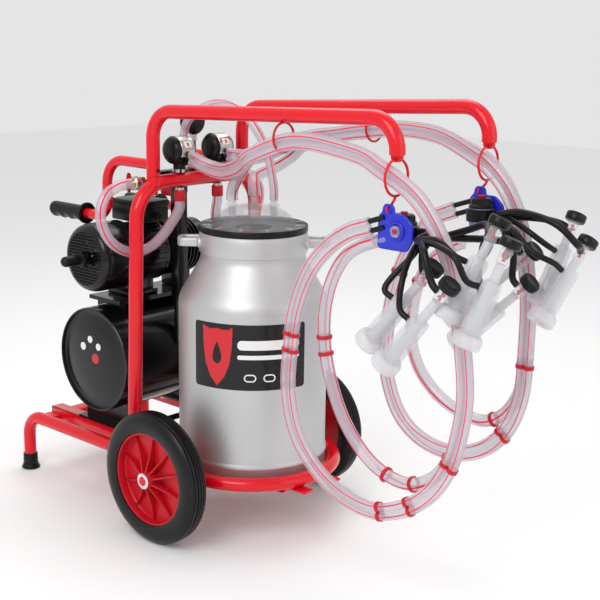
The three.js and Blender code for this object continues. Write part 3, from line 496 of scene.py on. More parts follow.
HOSE_ROUTES = {
    "right": {
        "milk": [
            (8, -33, 774), (8, -33, 786), (16, -38, 802), (46, -55, 826), (90, -80, 857), (137, -105, 883),
            (195, -128, 911), (265, -134, 931), (338, -134, 939), (419, -134, 931), (484, -134, 918),
            (522, -134, 900), (572, -134, 879), (622, -134, 846), (672, -134, 785), (697, -134, 734),
            (717, -134, 670), (736, -134, 576), (746, -134, 479), (734, -134, 395), (704, -130, 331),
            (666, -125, 292), (610, -122, 266), (550, -122, 272), (496, -122, 299), (439, -122, 358),
            (401, -122, 431), (379, -122, 514), (379, -124, 590), (400, -128, 659), (439, -132, 715),
            (484, -134, 743), (525, -140, 758),
        ],
        "pulse": [
            (-101, -62, 861), (-90, -62, 861), (-70, -70, 859), (-33, -80, 853), (42, -98, 849),
            (123, -128, 868), (190, -156, 900), (289, -160, 935), (361, -160, 942), (441, -160, 934),
            (505, -160, 922), (543, -160, 904), (592, -160, 882), (641, -160, 850), (690, -160, 790),
            (716, -160, 741), (735, -160, 677), (753, -160, 584), (763, -160, 489), (752, -160, 406),
            (736, -160, 352), (692, -160, 280), (620, -160, 225), (543, -160, 202), (448, -160, 219),
            (376, -160, 266), (332, -160, 323), (310, -160, 408), (314, -160, 498), (325, -158, 587),
            (362, -155, 678), (413, -152, 737), (462, -149, 770), (511, -146, 787),
        ],
    },
    "left": {
        "milk": [
            (36, 11, 784), (36, 11, 792), (28, 18, 806), (9, 38, 818), (-6, 75, 824), (-2, 112, 834),
            (22, 150, 860), (64, 160, 897), (156, 156, 924), (246, 156, 939), (345, 156, 950),
            (454, 156, 943), (533, 156, 921), (588, 156, 897), (634, 156, 850), (671, 156, 772),
            (694, 156, 641), (698, 156, 512), (689, 156, 422), (659, 150, 365), (612, 146, 337),
            (548, 144, 343), (485, 142, 371), (437, 140, 417), (412, 140, 471), (409, 140, 540),
            (421, 142, 611), (450, 144, 667), (488, 145, 699), (531, 146, 720),
        ],
        "pulse": [
            (-101, 62, 861), (-90, 62, 861), (-74, 68, 860), (-51, 85, 860), (-20, 105, 869), (29, 122, 891),
            (86, 130, 911), (177, 131, 927), (266, 131, 942), (364, 131, 953), (472, 131, 946),
            (550, 131, 916), (601, 131, 889), (648, 131, 843), (684, 131, 773), (709, 131, 647),
            (713, 131, 520), (706, 131, 410), (674, 131, 331), (613, 131, 274), (535, 131, 249),
            (451, 131, 261), (392, 131, 302), (354, 131, 378), (345, 131, 460), (352, 132, 543),
            (376, 134, 639), (412, 137, 712), (461, 140, 767), (511, 143, 790),
        ],
    },
}
VACUUM_ROUTE = [
    (-182, -10, 870.4), (-182, -10, 884), (-179, -13, 912), (-164, -13, 944), (-140, -5, 966), (-111, 0, 982),
    (-82, 5, 989), (-50, 10, 988), (-23, 16, 979), (3, 20, 962), (27, 25, 936), (44, 28, 912),
    (61, 31, 878), (72, 33, 833), (79, 33, 800), (79, 33, 775),
]
VALVE_ROUTE = [
    (-190, 172.8, 804), (-190, 186, 804), (-190, 205, 802), (-190, 222, 796), (-190, 238, 789),
    (-190, 256, 767), (-190, 262, 735), (-190, 252, 702), (-190, 230, 671), (-190, 192, 647),
    (-188, 154, 640), (-180, 117, 651), (-170, 90, 676), (-158, 72, 707), (-146, 63, 732),
    (-141, 62, 748), (-141, 62, 758.4),
]


def make_hose(name, route, diameter, material, section=None, swings=None):
    path = smooth_path(route)
    hose = Piece(f"{name}_look")
    hose.tube(path, diameter / 2, material, section=section, side=LEFTWARD if section else None)
    made = hose.done()
    if swings:
        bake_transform(made)
    else:
        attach(made, "cart")
    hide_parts(name)
    return made


twin = twin_section(TWIN_W, TWIN_T)
for side, sign in SIDES:
    arm_body = f"{side}_swing_arm"
    make_hose(f"{side}_milk_hose", HOSE_ROUTES[side]["milk"], MILK_HOSE_D, HOSE, swings=arm_body)
    make_hose(f"{side}_pulse_hose", HOSE_ROUTES[side]["pulse"], TWIN_W, TWIN, section=twin, swings=arm_body)
    valve_route = [(x, sign * y, z) for x, y, z in VALVE_ROUTE]
    make_hose(f"{side}_valve_hose", valve_route, VALVE_HOSE_D, HOSE)
make_hose("vacuum_hose", VACUUM_ROUTE, VACUUM_HOSE_D, HOSE)

# red clips that hold each pair of hoses together: where they sit, seen from the side (x, z)
CLIPS = {
    "right": [(300, 480), (400, 530), (620, 275), (535, 200), (570, 575), (735, 345)],
    "left": [(640, 335), (550, 570), (735, 480)],
}

BRIDGED = 42  # hoses further apart than this have no bar between their clips
HOSE_RING_R = 31
HOSE_RINGS = {"right": (275, -146, 944), "left": (283, 144, 950)}


def nearest(path, x, z):
    """The middle and the direction of the run of path that passes closest to a spot."""
    i = min(range(3, len(path) - 3), key=lambda k: math.hypot(path[k].x - x, path[k].z - z))
    return path[i], (path[i + 1] - path[i - 1]).normalized()


def make_clips(side):
    clips = Piece(f"{side}_hose_clips")
    band = [(14.1, -4), (16.2, -4), (17, -2.8), (17, 2.8), (16.2, 4), (14.1, 4)]
    for x, z in CLIPS[side]:
        at, along = nearest(smooth_path(HOSE_ROUTES[side]["milk"]), x, z)
        clips.turned(band, at, along, RED_PLASTIC, sides=40)
        beside, along = nearest(smooth_path(HOSE_ROUTES[side]["pulse"]), at.x, at.z)
        clips.tube([beside - along * 4, beside + along * 4], 0, RED_PLASTIC,
                   section=twin_section(TWIN_W + 4, TWIN_T + 4), side=LEFTWARD)
        if (at - beside).length < BRIDGED:
            clips.tube([at, beside], 2.5, RED_PLASTIC, sides=12)
    x, y, z = HOSE_RINGS[side]
    clips.tube(hoop((x, y, z), UP, LEFTWARD, HOSE_RING_R, 48), 2.6, RED_PLASTIC, sides=14)
    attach(clips.done(), f"{side}_swing_arm")


for side, _ in SIDES:
    make_clips(side)

# ---- cart frame -------------------------------------------------------------------------
RAIL_R, RAIL_Y, RAIL_Z = 16, 198, 150
REAR_X, BEND_X = -595, 244
AXLE_Z = 155


def make_frame():
    frame_piece = Piece("frame_tubes")
    corners = [(REAR_X, -RAIL_Y, 22), (REAR_X, -RAIL_Y, RAIL_Z), (BEND_X, -RAIL_Y, RAIL_Z),
               (BEND_X, RAIL_Y, RAIL_Z), (REAR_X, RAIL_Y, RAIL_Z), (REAR_X, RAIL_Y, 22)]
    frame_piece.tube(rounded_path(corners, [55, RAIL_Y, RAIL_Y, 55], 24), RAIL_R, RED, sides=28)
    inner = RAIL_Y - 12
    frame_piece.rod((-172, -inner, RAIL_Z), (-172, inner, RAIL_Z), 12.5, RED)
    frame_piece.block((-562, -inner, 150), (-522, inner, 154), RED)
    frame_piece.block((-562, -inner, 122), (-558, inner, 154), RED)
    strap_top = [(275, 134.5), (222, 134.5), (205, 118), (-142, 118), (-160, 142), (-176, 142)]
    outline = strap_top + [(x, z - 5) for x, z in reversed(strap_top)]
    for _, sign in SIDES:
        for inside, bottom in ((115, 166), (146, 136)):
            low, high = sorted((sign * inside, sign * 150))
            frame_piece.block((-560, low, bottom), (-160, high, 170), RED)
        frame_piece.rod((0, sign * 200, AXLE_Z), (0, sign * 312, AXLE_Z), 10, RED, chamfer=2)
        frame_piece.rod((0, sign * 200, AXLE_Z), (0, sign * 236, AXLE_Z), 18, RED)
        frame_piece.turned([(16.5, -4), (19, 0), (16.5, 4)], (0, sign * 214, AXLE_Z), (0, sign, 0), RED)
        frame_piece.plate(outline, sign * 48 - 15, sign * 48 + 15, RED)
        for x in (-541, -428, -252, -172):
            frame_piece.rod((x, sign * 132, 158), (x, sign * 132, 166.5), 9, NICKEL, sides=6, chamfer=1)
    frame_piece.fit("base_frame")


make_frame()
for side, sign in SIDES:
    foot = Piece(f"{side}_foot_rubber")
    profile = [(0, 0), (21, 0), (24, 2), (24, 5), (22, 8), (20.5, 12), (19.5, 17), (19, 22), (19.6, 23),
               (19.6, 26), (19, 27), (19, 40), (18, 42), (16.4, 42), (16.4, 24), (0, 22)]
    foot.turned(profile, (REAR_X, sign * RAIL_Y, 0), UP, RUBBER)
    foot.fit(f"{side}_foot")

# ---- arch, handles and grips ------------------------------------------------------------
POST_R, ARCH_X, ARCH_Z = 16.85, -141, 809
PEG_X, PEG_Y = -139, 145
HANDLE_Y = 122
GRIP_X, GRIP_Z, GRIP_LENGTH = -426, 703, 136


def make_arch():
    arch = Piece("arch_tubes")
    corners = [(-155, -201, 160), (ARCH_X, -194, ARCH_Z), (ARCH_X, 194, ARCH_Z), (-155, 201, 160)]
    arch.tube(rounded_path(corners, [84, 84], 20), POST_R, RED, sides=30)
    for _, sign in SIDES:
        arch.rod((PEG_X, sign * PEG_Y, ARCH_Z), (PEG_X, sign * PEG_Y, 868), 12.2, RED)
        arch.rod((PEG_X, sign * PEG_Y, ARCH_Z - 8), (PEG_X, sign * PEG_Y, 824.2), 16, RED)
        y = sign * HANDLE_Y
        handle = [(-160, y, 800), (-160, y, 847), (-338, y, 847), (-338, y, GRIP_Z), (-552, y, GRIP_Z)]
        arch.tube(rounded_path(handle, [25, 60, 42], 14), 12.5, RED, sides=26)
        arch.rod((ARCH_X - 2, sign * 136, 779), (ARCH_X - 2, sign * 136, 801), 6, RED, sides=20, chamfer=1)
        arch.turned([(POST_R + 0.2, -5), (POST_R + 3, -1), (POST_R + 3, 1), (POST_R + 0.2, 7)],
                    (-155.2, sign * 200.9, 166), UP, RED)
    arch.fit("arch")


make_arch()
for side, sign in SIDES:
    grip = Piece(f"{side}_grip_rubber")
    y = sign * HANDLE_Y
    rings = []
    for i in range(73):
        x = GRIP_X - GRIP_LENGTH * i / 72
        wave = 2.2 * math.cos(2 * math.pi * i / 18)
        end = 1 - 0.35 * max(0, (i - 66) / 6) ** 2
        ring = []
        for a, b in circle(1, 36):
            below = max(0.0, -b)
            radius = (17.4 + 2 * below - wave * below ** 1.5 + (0.35 if i % 4 < 2 else 0)) * end
            ring.append((x, y + a * radius, GRIP_Z + b * radius))
        rings.append(ring)
    front, back = (GRIP_X, y, GRIP_Z), (GRIP_X - GRIP_LENGTH, y, GRIP_Z)
    grip.skin([[front], *rings, [back]], RUBBER)
    grip.turned([(13, 0), (25.5, 0), (27, 1.5), (27, 4.5), (25.5, 6), (13, 6)], front, FORWARD, RUBBER)
    grip.fit(f"{side}_grip")

# ---- wheels -----------------------------------------------------------------------------
for side, sign in SIDES:
    centre, outward = (0, 0, AXLE_Z), (0, sign, 0)
    tyre = Piece(f"{side}_tyre_rubber")
    profile = [(109, 246), (114, 244), (126, 243), (138, 244), (147, 248), (152, 253), (152, 256),
               (153.6, 256.4), (154.4, 262), (153, 262.4), (153, 265), (155, 265.4), (155, 269.8),
               (152.8, 270), (152.8, 272), (155, 272.2), (155, 276.6), (153, 277), (153, 279.6), (154.4, 280),
               (153.6, 285.6), (152, 286), (152, 289), (147, 294), (138, 298), (126, 299), (114, 298),
               (109, 296)]
    tyre.turned(profile, centre, outward, TYRE, sides=96)
    tyre.fit(f"{side}_tyre")
    rim = Piece(f"{side}_rim_plastic")
    profile = [(10.4, 239), (18, 239), (20, 241), (20, 267), (23, 268), (100, 268), (104, 266), (104.5, 249),
               (106, 247), (108.4, 247), (109, 249), (109, 292), (108, 294), (105, 294), (104, 292.5),
               (103.2, 275), (101, 272.4), (24, 272), (21, 274), (20, 280), (19.4, 303), (18, 305),
               (10.4, 305)]
    rim.turned(profile, centre, outward, RED_PLASTIC, sides=96)
    for i in range(10):
        turn = 2 * math.pi * (i + 0.5) / 10
        rib = bmesh.new()
        ends = []
        for half in (-2, 2):
            ends.append([rib.verts.new((r, sign * h, half))
                         for r, h in ((18, 270), (103.6, 270), (103.6, 277), (60, 285), (18, 301))])
        rib.faces.new(ends[0])
        rib.faces.new(list(reversed(ends[1])))
        for k in range(5):
            rib.faces.new([ends[0][k], ends[0][(k + 1) % 5], ends[1][(k + 1) % 5], ends[1][k]])
        bmesh.ops.bevel(rib, geom=rib.edges[:], offset=0.7, segments=2, profile=0.5, affect="EDGES")
        for v in rib.verts:
            v.co = Matrix.Rotation(turn, 3, "Y") @ v.co + Vector(centre)
        rim.merge(rib, RED_PLASTIC)
    rim.fit(f"{side}_rim")
    washer = Piece(f"{side}_axle_washer_steel")
    washer.turned([(10.3, 305.4), (18, 305.4), (19, 306.2), (18.6, 308), (15, 309.4), (11, 309.4),
                   (10.3, 308.8)], centre, outward, CHROME)
    washer.fit(f"{side}_axle_washer")

# ---- can, gasket and lid ----------------------------------------------------------------
CAN_X = 46
CAN_R = 176
EAR_Z = 678
can = Piece("can_body")
profile = [(0, 118.3), (150, 118.3), (158, 119), (168, 124), (172, 131), (174.5, 140), (176, 150), (176, 170),
           (177, 173), (178.8, 177), (179, 180), (178.8, 183), (177, 187), (176, 190), (176, 535), (175, 546),
           (172, 556), (167, 566), (160, 576), (132, 625), (127, 635), (124, 642), (123, 650), (123, 655),
           (126.4, 656.4), (127, 658), (127, 697), (126, 700), (125.6, 702), (125.6, 703.6), (123, 704),
           (120.5, 703.6), (120, 700), (120, 642), (157, 576), (170, 548), (172.6, 535), (172.6, 150),
           (154, 123), (0, 122.5)]
can.turned(profile, (CAN_X, 0, 0), UP, ALUMINIUM, sides=128)
for heading in (42, 222):
    turn = math.radians(heading)
    path = rounded_path([(118, -24, EAR_Z), (171, -24, EAR_Z), (171, 24, EAR_Z), (118, 24, EAR_Z)], [14, 14])
    path = [Matrix.Rotation(turn, 3, "Z") @ p + Vector((CAN_X, 0, 0)) for p in path]
    section = [(6 * math.copysign(abs(a) ** 0.4, a), 10 * math.copysign(abs(b) ** 0.4, b))
               for a, b in circle(1, 32)]
    can.tube(path, 0, ALUMINIUM, section=section, side=UP)
    for y in (-24, 24):
        base = Matrix.Rotation(turn, 3, "Z") @ Vector((124, y, EAR_Z)) + Vector((CAN_X, 0, 0))
        ahead = Matrix.Rotation(turn, 3, "Z") @ FORWARD
        can.turned([(0, -6), (14, -6), (14, 2), (9, 7), (0, 8)], base, ahead, ALUMINIUM, sides=28)
can.fit("can")

gasket = Piece("lid_gasket_rubber")
gasket.turned([(44, 704.5), (125, 704.5), (127.2, 706), (127.5, 712), (127.2, 718), (126.4, 719.2),
               (125.4, 719.2), (125.4, 712.2), (44, 712.2)], (CAN_X, 0, 0), UP, RUBBER, sides=96)
gasket.fit("lid_gasket")

lid = Piece("can_lid_clear")
lid.turned([(0, 762), (30, 761), (54, 756), (74, 746.4), (87, 735), (95, 722), (97, 712.6), (124.4, 712.6),
            (125, 713.4), (125, 718.6), (124.4, 719.3), (101, 719.3), (98.4, 723), (90, 737), (76, 749.4),
            (55, 759.2), (31, 764), (0, 765)], (CAN_X, 0, 0), UP, GLASS, sides=96)
for i in range(12):
    turn = math.radians(30 * i)
    rib = [around((CAN_X, 0, 721), FORWARD, LEFTWARD, r, turn) for r in (101, 122)]
    lid.tube(rib, 1.6, CLEAR, sides=10)
for x, y, tip in ((8, -33, 773), (36, 11, 783), (79, 33, 774)):
    lid.turned([(7, -28), (9.4, -28), (9.4, -4), (13, -3), (13, 2), (10.5, 4), (10, tip - 764),
                (9, tip - 762.6), (7, tip - 762.6)], (x, y, 762.6), UP, CLEAR, sides=32)
lid.fit("can_lid")

# the label: a black field with a red shield that holds a drop, and plain bars in place of any text
LABEL_HEADING = math.radians(-45.5)
LABEL_Z = 443
LABEL_RINGS = 14


def wrap(across, height, lift):
    """A spot on the can's side: across is how far round from the middle of the label."""
    turn = LABEL_HEADING + across / CAN_R
    return around((CAN_X, 0, height), FORWARD, LEFTWARD, CAN_R + lift, turn)


def label_patch(piece, outline, middle, material, lift):
    """A fan about its middle, in rings close enough together to follow the can."""
    rings = [[wrap(middle[0], middle[1], lift)]]
    for k in range(LABEL_RINGS):
        share = (k + 1) / LABEL_RINGS
        rings.append([wrap(middle[0] + (s - middle[0]) * share, middle[1] + (z - middle[1]) * share, lift)
                      for s, z in outline])
    rings.append([wrap(s, z, 0.02) for s, z in outline])
    piece.skin(rings, material)


def rounded_box(cx, cz, w, h, r, steps=6, sides=8):
    points = []
    for sx, sz, start in ((1, 1, 0), (-1, 1, 90), (-1, -1, 180), (1, -1, 270)):
        for i in range(steps + 1):
            turn = math.radians(start + 90 * i / steps)
            points.append((cx + sx * (w / 2 - r) + r * math.cos(turn),
                           cz + sz * (h / 2 - r) + r * math.sin(turn)))
    full = []
    for a, b in zip(points, points[1:] + points[:1]):
        count = max(1, int(math.dist(a, b) / 6))
        full += [(a[0] + (b[0] - a[0]) * k / count, a[1] + (b[1] - a[1]) * k / count) for k in range(count)]
    return full


label = Piece("can_label")
label_patch(label, rounded_box(-9, LABEL_Z, 274, 152, 8), (-9, LABEL_Z), LABEL_BLACK, 0.35)
shield = [(-122, 512), (-102, 505), (-84, 508), (-66, 505), (-46, 512), (-48, 462), (-54, 424), (-66, 396),
          (-84, 374), (-102, 396), (-114, 424), (-120, 462)]
label_patch(label, shield, (-84, 450), LABEL_RED, 0.6)
drop = [(-84 + 15 * math.sin(t) * math.sin(t / 2) ** 1.2, 452 + 26 * math.cos(t))
        for t in (2 * math.pi * i / 40 for i in range(40))]
label_patch(label, drop, (-84, 447), LABEL_BLACK, 0.85)
for z, height, corner in ((472, 22, 10), (444, 10, 4)):
    label_patch(label, rounded_box(38, z, 146, height, corner), (38, z), LABEL_WHITE, 0.6)
for across in (-6, 38, 82):
    label_patch(label, rounded_box(across, 396, 28, 18, 8.9), (across, 396), LABEL_WHITE, 0.6)
    label_patch(label, rounded_box(across, 396, 22, 12, 5.9), (across, 396), LABEL_BLACK, 0.85)
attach(label.done(), "cart")

badges = Piece("tank_badges")
for x, z, r, material in ((-378, 376, 10, LABEL_WHITE), (-350, 398, 9, LABEL_WHITE),
                          (-318, 384, 9, LABEL_WHITE), (-330, 352, 13, LABEL_RED)):
    badges.turned([(0, 176), (r, 176), (r, 178.2), (0, 178.3)], (x, 0, z), RIGHTWARD, material)
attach(badges.done(), "cart")

# ---- tank, cradle, motor and pump -------------------------------------------------------
SHAFT = Vector((-340, 0, 607))
TANK = Vector((-340, 0, 347.5))
tank = Piece("tank_shell")
half = [(132, 60), (132, 170), (131.4, 176), (129.6, 178), (127, 177.6), (125.4, 174), (124.6, 170),
        (121, 168.6), (112, 169), (96, 172), (72, 175.4), (40, 177.4), (0, 178)]
profile = [(r, -y) for r, y in reversed(half)] + half
tank.turned(profile, TANK, LEFTWARD, BLACK, sides=96)
tank.turned([(0, -6), (9, -6), (9, -1), (0, -1)], TANK - UP * 131.7, UP, BRASS, sides=6)
for y in (-158, 158):
    seam = [(131.6, -2.6), (132.0, -1.2), (132.0, 1.2), (131.6, 2.6)]
    tank.turned(seam, TANK + LEFTWARD * y, LEFTWARD, BLACK, sides=96)
tank.fit("tank")

motor = Piece("motor_shell")
motor.turned([(14, -98), (70, -98), (78, -97), (81, -94), (81, -88), (79, -86), (76, -84), (76, 6), (78, 8),
              (78, 14), (75, 17), (68, 20), (14, 20)], SHAFT, LEFTWARD, BLACK, sides=72)
for i in range(36):
    turn = math.radians(10 * i)
    if abs(math.sin(turn) - 1) < 0.12:  # no fins under the terminal box
        continue
    at = around(SHAFT + RIGHTWARD * 39, FORWARD, UP, 76, turn)
    motor.block(at - Vector((2, 44, 1.3)), at + Vector((2, 44, 1.3)), BLACK, bevel=0.6,
                turn=Matrix.Rotation(-turn, 3, "Y"), about=at)
motor.block((-385, -90, 500.5), (-295, 0, 512), BLACK)
motor.block((-376, -84, 508), (-304, -6, 542), BLACK, bevel=4)
motor.fit("motor_body")

cover = Piece("fan_cover_shell")
cover.turned([(66, -197), (72, -195), (78, -190), (82, -183), (84.4, -174), (85, -166), (85, -90), (84, -88),
              (82.4, -88), (82.4, -166), (81, -176), (76, -187), (70, -193), (64, -194.4)], SHAFT, LEFTWARD,
              BLACK, sides=80)
for k in range(-8, 9):
    h = k * 7.6
    reach = math.sqrt(max(67 ** 2 - h ** 2, 1))
    for low, high in (((-reach, -196.6, h - 1.2), (reach, -194.6, h + 1.2)),
                      ((h - 1.2, -195.6, -reach), (h + 1.2, -193.6, reach))):
        cover.block(SHAFT + Vector(low), SHAFT + Vector(high), BLACK, bevel=0)
cover.turned([(12.5, -197), (20, -197), (20, -194), (12.5, -194)], SHAFT, LEFTWARD, BLACK, sides=40)
cover.fit("fan_cover")

knob = Piece("turning_knob_grip")
knob.block(SHAFT + Vector((-24, -217, -15)), SHAFT + Vector((24, -205.4, 15)), BLACK_PLASTIC, bevel=2.5)
knob.turned([(0, 215), (13, 215), (13, 252), (12, 257), (9, 261), (5, 262.6), (0, 263)], SHAFT, RIGHTWARD,
            BLACK_PLASTIC)
knob.fit("turning_knob")

pump = Piece("pump_shell")
profile = [(14, 30), (60, 30), (66, 33)]
for k in range(8):
    y = 40 + k * 12
    profile += [(66, y), (71.4, y + 1), (72, y + 2), (72, y + 4), (71.4, y + 5), (66, y + 6)]
profile += [(66, 160), (62, 165), (40, 165), (40, 188), (36, 195), (0, 195)]
pump.turned([(0, 150), (48, 150), (48, 38), (14, 38), *profile], SHAFT, LEFTWARD, BLACK, sides=72)
pump.block((-375, 80, 500.5), (-305, 120, 552), BLACK, bevel=3)
for i in range(6):
    turn = math.radians(60 * i + 30)
    at = around(SHAFT + LEFTWARD * 164, FORWARD, UP, 54, turn)
    pump.rod(at, at + LEFTWARD * 6, 5.4, NICKEL, sides=6)
pump.fit("pump_body")

box = Piece("terminal_box_shell")
box.block((-398, -63, 685.6), (-276, 22, 723), BLACK_PLASTIC, bevel=4)
box.block((-400, -65, 722), (-274, 24, 740), BLACK_PLASTIC, bevel=4)
for x, y in ((-392, -57), (-282, -57), (-392, 16), (-282, 16)):
    box.rod((x, y, 738), (x, y, 741), 4, CHROME, sides=20)
box.rod((-280, -20, 703), (-262, -20, 703), 9, BLACK_PLASTIC, sides=6)
box.fit("terminal_box")

# ---- header, gauge, regulator, valves ---------------------------------------------------
GAUGE = Vector((-190, 28, 940))
VALVES = Vector((-190, 0, 804))
LEVER_X, LEVER_Y = -208, 160
header = Piece("vacuum_header_shell")
header.block((-205, -100, 785), (-175, 100, 828), BLACK, bevel=3)
header.block((-228, -15, 495), (-198, 15, 788), BLACK, bevel=2.5)
header.rod((-213, 0, 384), (-213, 0, 500), 14, BLACK)
header.turned([(6.5, -4), (12, -4), (12, 6), (9, 8), (9, 41.6), (6.5, 41.6)], (-182, -10, 828), UP, NICKEL)
header.fit("vacuum_header")

regulator = Piece("regulator_cup")
regulator.turned([(0, 752), (26, 752), (31, 754), (34, 760), (34, 786), (32, 790), (20, 791), (18, 798),
                  (0, 798)], (-264, 30, 0), UP, RED_PLASTIC)
regulator.tube(rounded_path([(-264, 30, 790), (-264, 30, 812), (-205.4, 30, 812)], [14], 10), 9, BLACK)
regulator.rod((-216, 30, 812), (-206, 30, 812), 13, NICKEL, sides=6)
regulator.fit("regulator")

gauge = Piece("gauge_case")
gauge.turned([(0, 10), (28.5, 10), (28.5, 14), (30, 14.4), (31.5, 13), (31.5, -8), (30, -10), (26, -13),
              (0, -14)], GAUGE, -FORWARD, BLACK_PLASTIC, sides=72)
gauge.turned([(0, 10.1), (28.3, 10.1), (28.3, 10.4), (0, 10.4)], GAUGE, -FORWARD, DIAL, sides=64)
for i in range(21):
    turn = math.radians(-30 + 12 * i)
    at = around(GAUGE - FORWARD * 10.7, LEFTWARD, UP, 24, turn)
    size = Vector((0.15, 0.5, 2.6 if i % 5 == 0 else 1.6))
    gauge.block(at - size, at + size, LABEL_BLACK, bevel=0, turn=Matrix.Rotation(-turn + math.pi / 2, 3, "X"),
                about=at)
for bottom, top, radius, material, sides in ((828.4, 845, 11, BRASS, 6), (845, 912, 7, BRASS, 28),
                                             (893, 909, 10, NICKEL, 6)):
    gauge.rod((GAUGE.x, GAUGE.y, bottom), (GAUGE.x, GAUGE.y, top), radius, material, sides=sides)
gauge.fit("gauge")

for side, sign in SIDES:
    valve = Piece(f"{side}_ball_valve_body")
    at, outward = VALVES, (0, sign, 0)
    valve.turned([(0, 100.4), (13, 100.4), (13, 112), (11, 114), (11, 134), (0, 134)], at, outward, BRASS)
    valve.turned([(0, 134), (14.4, 134), (15.4, 135.6), (15.4, 149.4), (14.4, 151), (0, 151)], at, outward,
                 NICKEL, sides=6)
    valve.turned([(0, 150), (13, 150), (16, 153), (16, 163), (13, 166), (0, 166)], at, outward, NICKEL)
    valve.turned([(0, 165), (9, 165), (9, 167), (8, 168), (9, 171), (8, 172), (0, 172)], at, outward, BRASS)
    stem = VALVES + LEFTWARD * sign * LEVER_Y
    valve.rod(stem, (LEVER_X + 0.4, stem.y, stem.z), 5, NICKEL)
    valve.fit(f"{side}_ball_valve")
    lever = Piece(f"{side}_valve_lever_wing")
    outline = []
    for i in range(40):
        turn = 2 * math.pi * i / 40
        half_width = 7 + 2 * abs(math.sin(turn)) ** 3
        outline.append((stem.y + half_width * math.cos(turn), stem.z + 23 * math.sin(turn)))
    back, front = (LEVER_X - 4, stem.y, stem.z), (LEVER_X, stem.y, stem.z)
    rings = [[(x, a, b) for a, b in outline] for x in (back[0], front[0])]
    lever.skin([[back], *rings, [front]], RED_PLASTIC)
    lever.rod((LEVER_X - 5, stem.y, stem.z), front, 7, RED_PLASTIC)
    lever.fit(f"{side}_valve_lever")

# ---- pulsators and hose tails -----------------------------------------------------------
PULSATOR_Y, PULSATOR_Z = 62, 880


def barrel_band(piece, y, first, last, steps, section, material):
    """A band round a pulsator's lying barrel, from the first angle to the last; section is (r, y)."""
    rings = []
    for i in range(steps + 1):
        turn = math.radians(first + (last - first) * i / steps)
        rings.append([around((ARCH_X, y + h, PULSATOR_Z), FORWARD, UP, r, turn) for r, h in section])
    piece.skin(rings, material)


for side, sign in SIDES:
    y = sign * PULSATOR_Y
    pulsator = Piece(f"{side}_pulsator_body")
    pulsator.turned([(0, -34.5), (14, -34), (22, -32), (28, -28), (31.6, -23), (33, -17), (33, 17),
                     (31.6, 23), (28, 28), (22, 32), (14, 34), (0, 34.5)],
                    (ARCH_X, y + sign * 0.5, PULSATOR_Z), LEFTWARD, BLACK_PLASTIC, sides=64)
    barrel_band(pulsator, y, -25, 205, 40, ((33.1, -20), (33.9, -19.4), (33.9, 19.4), (33.1, 20)), NICKEL)
    for half, first, last, lift, material in ((11, 14, 40, 0.2, LABEL_WHITE), (3, 20, 34, 0.4, LABEL_RED)):
        section = ((33.8, -half), (33.9 + lift, -half), (33.9 + lift, half), (33.8, half))
        barrel_band(pulsator, y, first, last, 8, section, material)
    for angle in (-18, 62):
        for h in (-16, 16):
            screw = [around((ARCH_X, y + h, PULSATOR_Z), FORWARD, UP, r, math.radians(angle))
                     for r in (33.4, 35)]
            pulsator.rod(*screw, 2.2, CHROME, sides=16)
    pulsator.rod((ARCH_X, y, 827), (ARCH_X, y, 860), 15, BLACK_PLASTIC)
    pulsator.rod((ARCH_X, y, 827), (ARCH_X, y, 836), 17, NICKEL, sides=6)
    for rise in (-9.5, 9.5):
        pulsator.rod((ARCH_X + 16, y, 861 + rise), (ARCH_X + 39, y, 861 + rise), 6, BLACK_PLASTIC)
    pulsator.fit(f"{side}_pulsator")
    tail = Piece(f"{side}_hose_tail_nut")
    ribs = [13.2, 14] * 20
    rings = []
    for z, k in ((759.2, 0.94), (760.4, 1), (783.6, 1), (785, 0.94)):
        rings.append([around((ARCH_X, y, z), FORWARD, LEFTWARD, rib * k, 2 * math.pi * i / len(ribs))
                      for i, rib in enumerate(ribs)])
    tail.skin([[(ARCH_X, y, 759.2)], *rings, [(ARCH_X, y, 785)]], RED_PLASTIC)
    tail.rod((ARCH_X, y, 784), (ARCH_X, y, 791.8), 10.6, NICKEL)
    tail.fit(f"{side}_hose_tail")

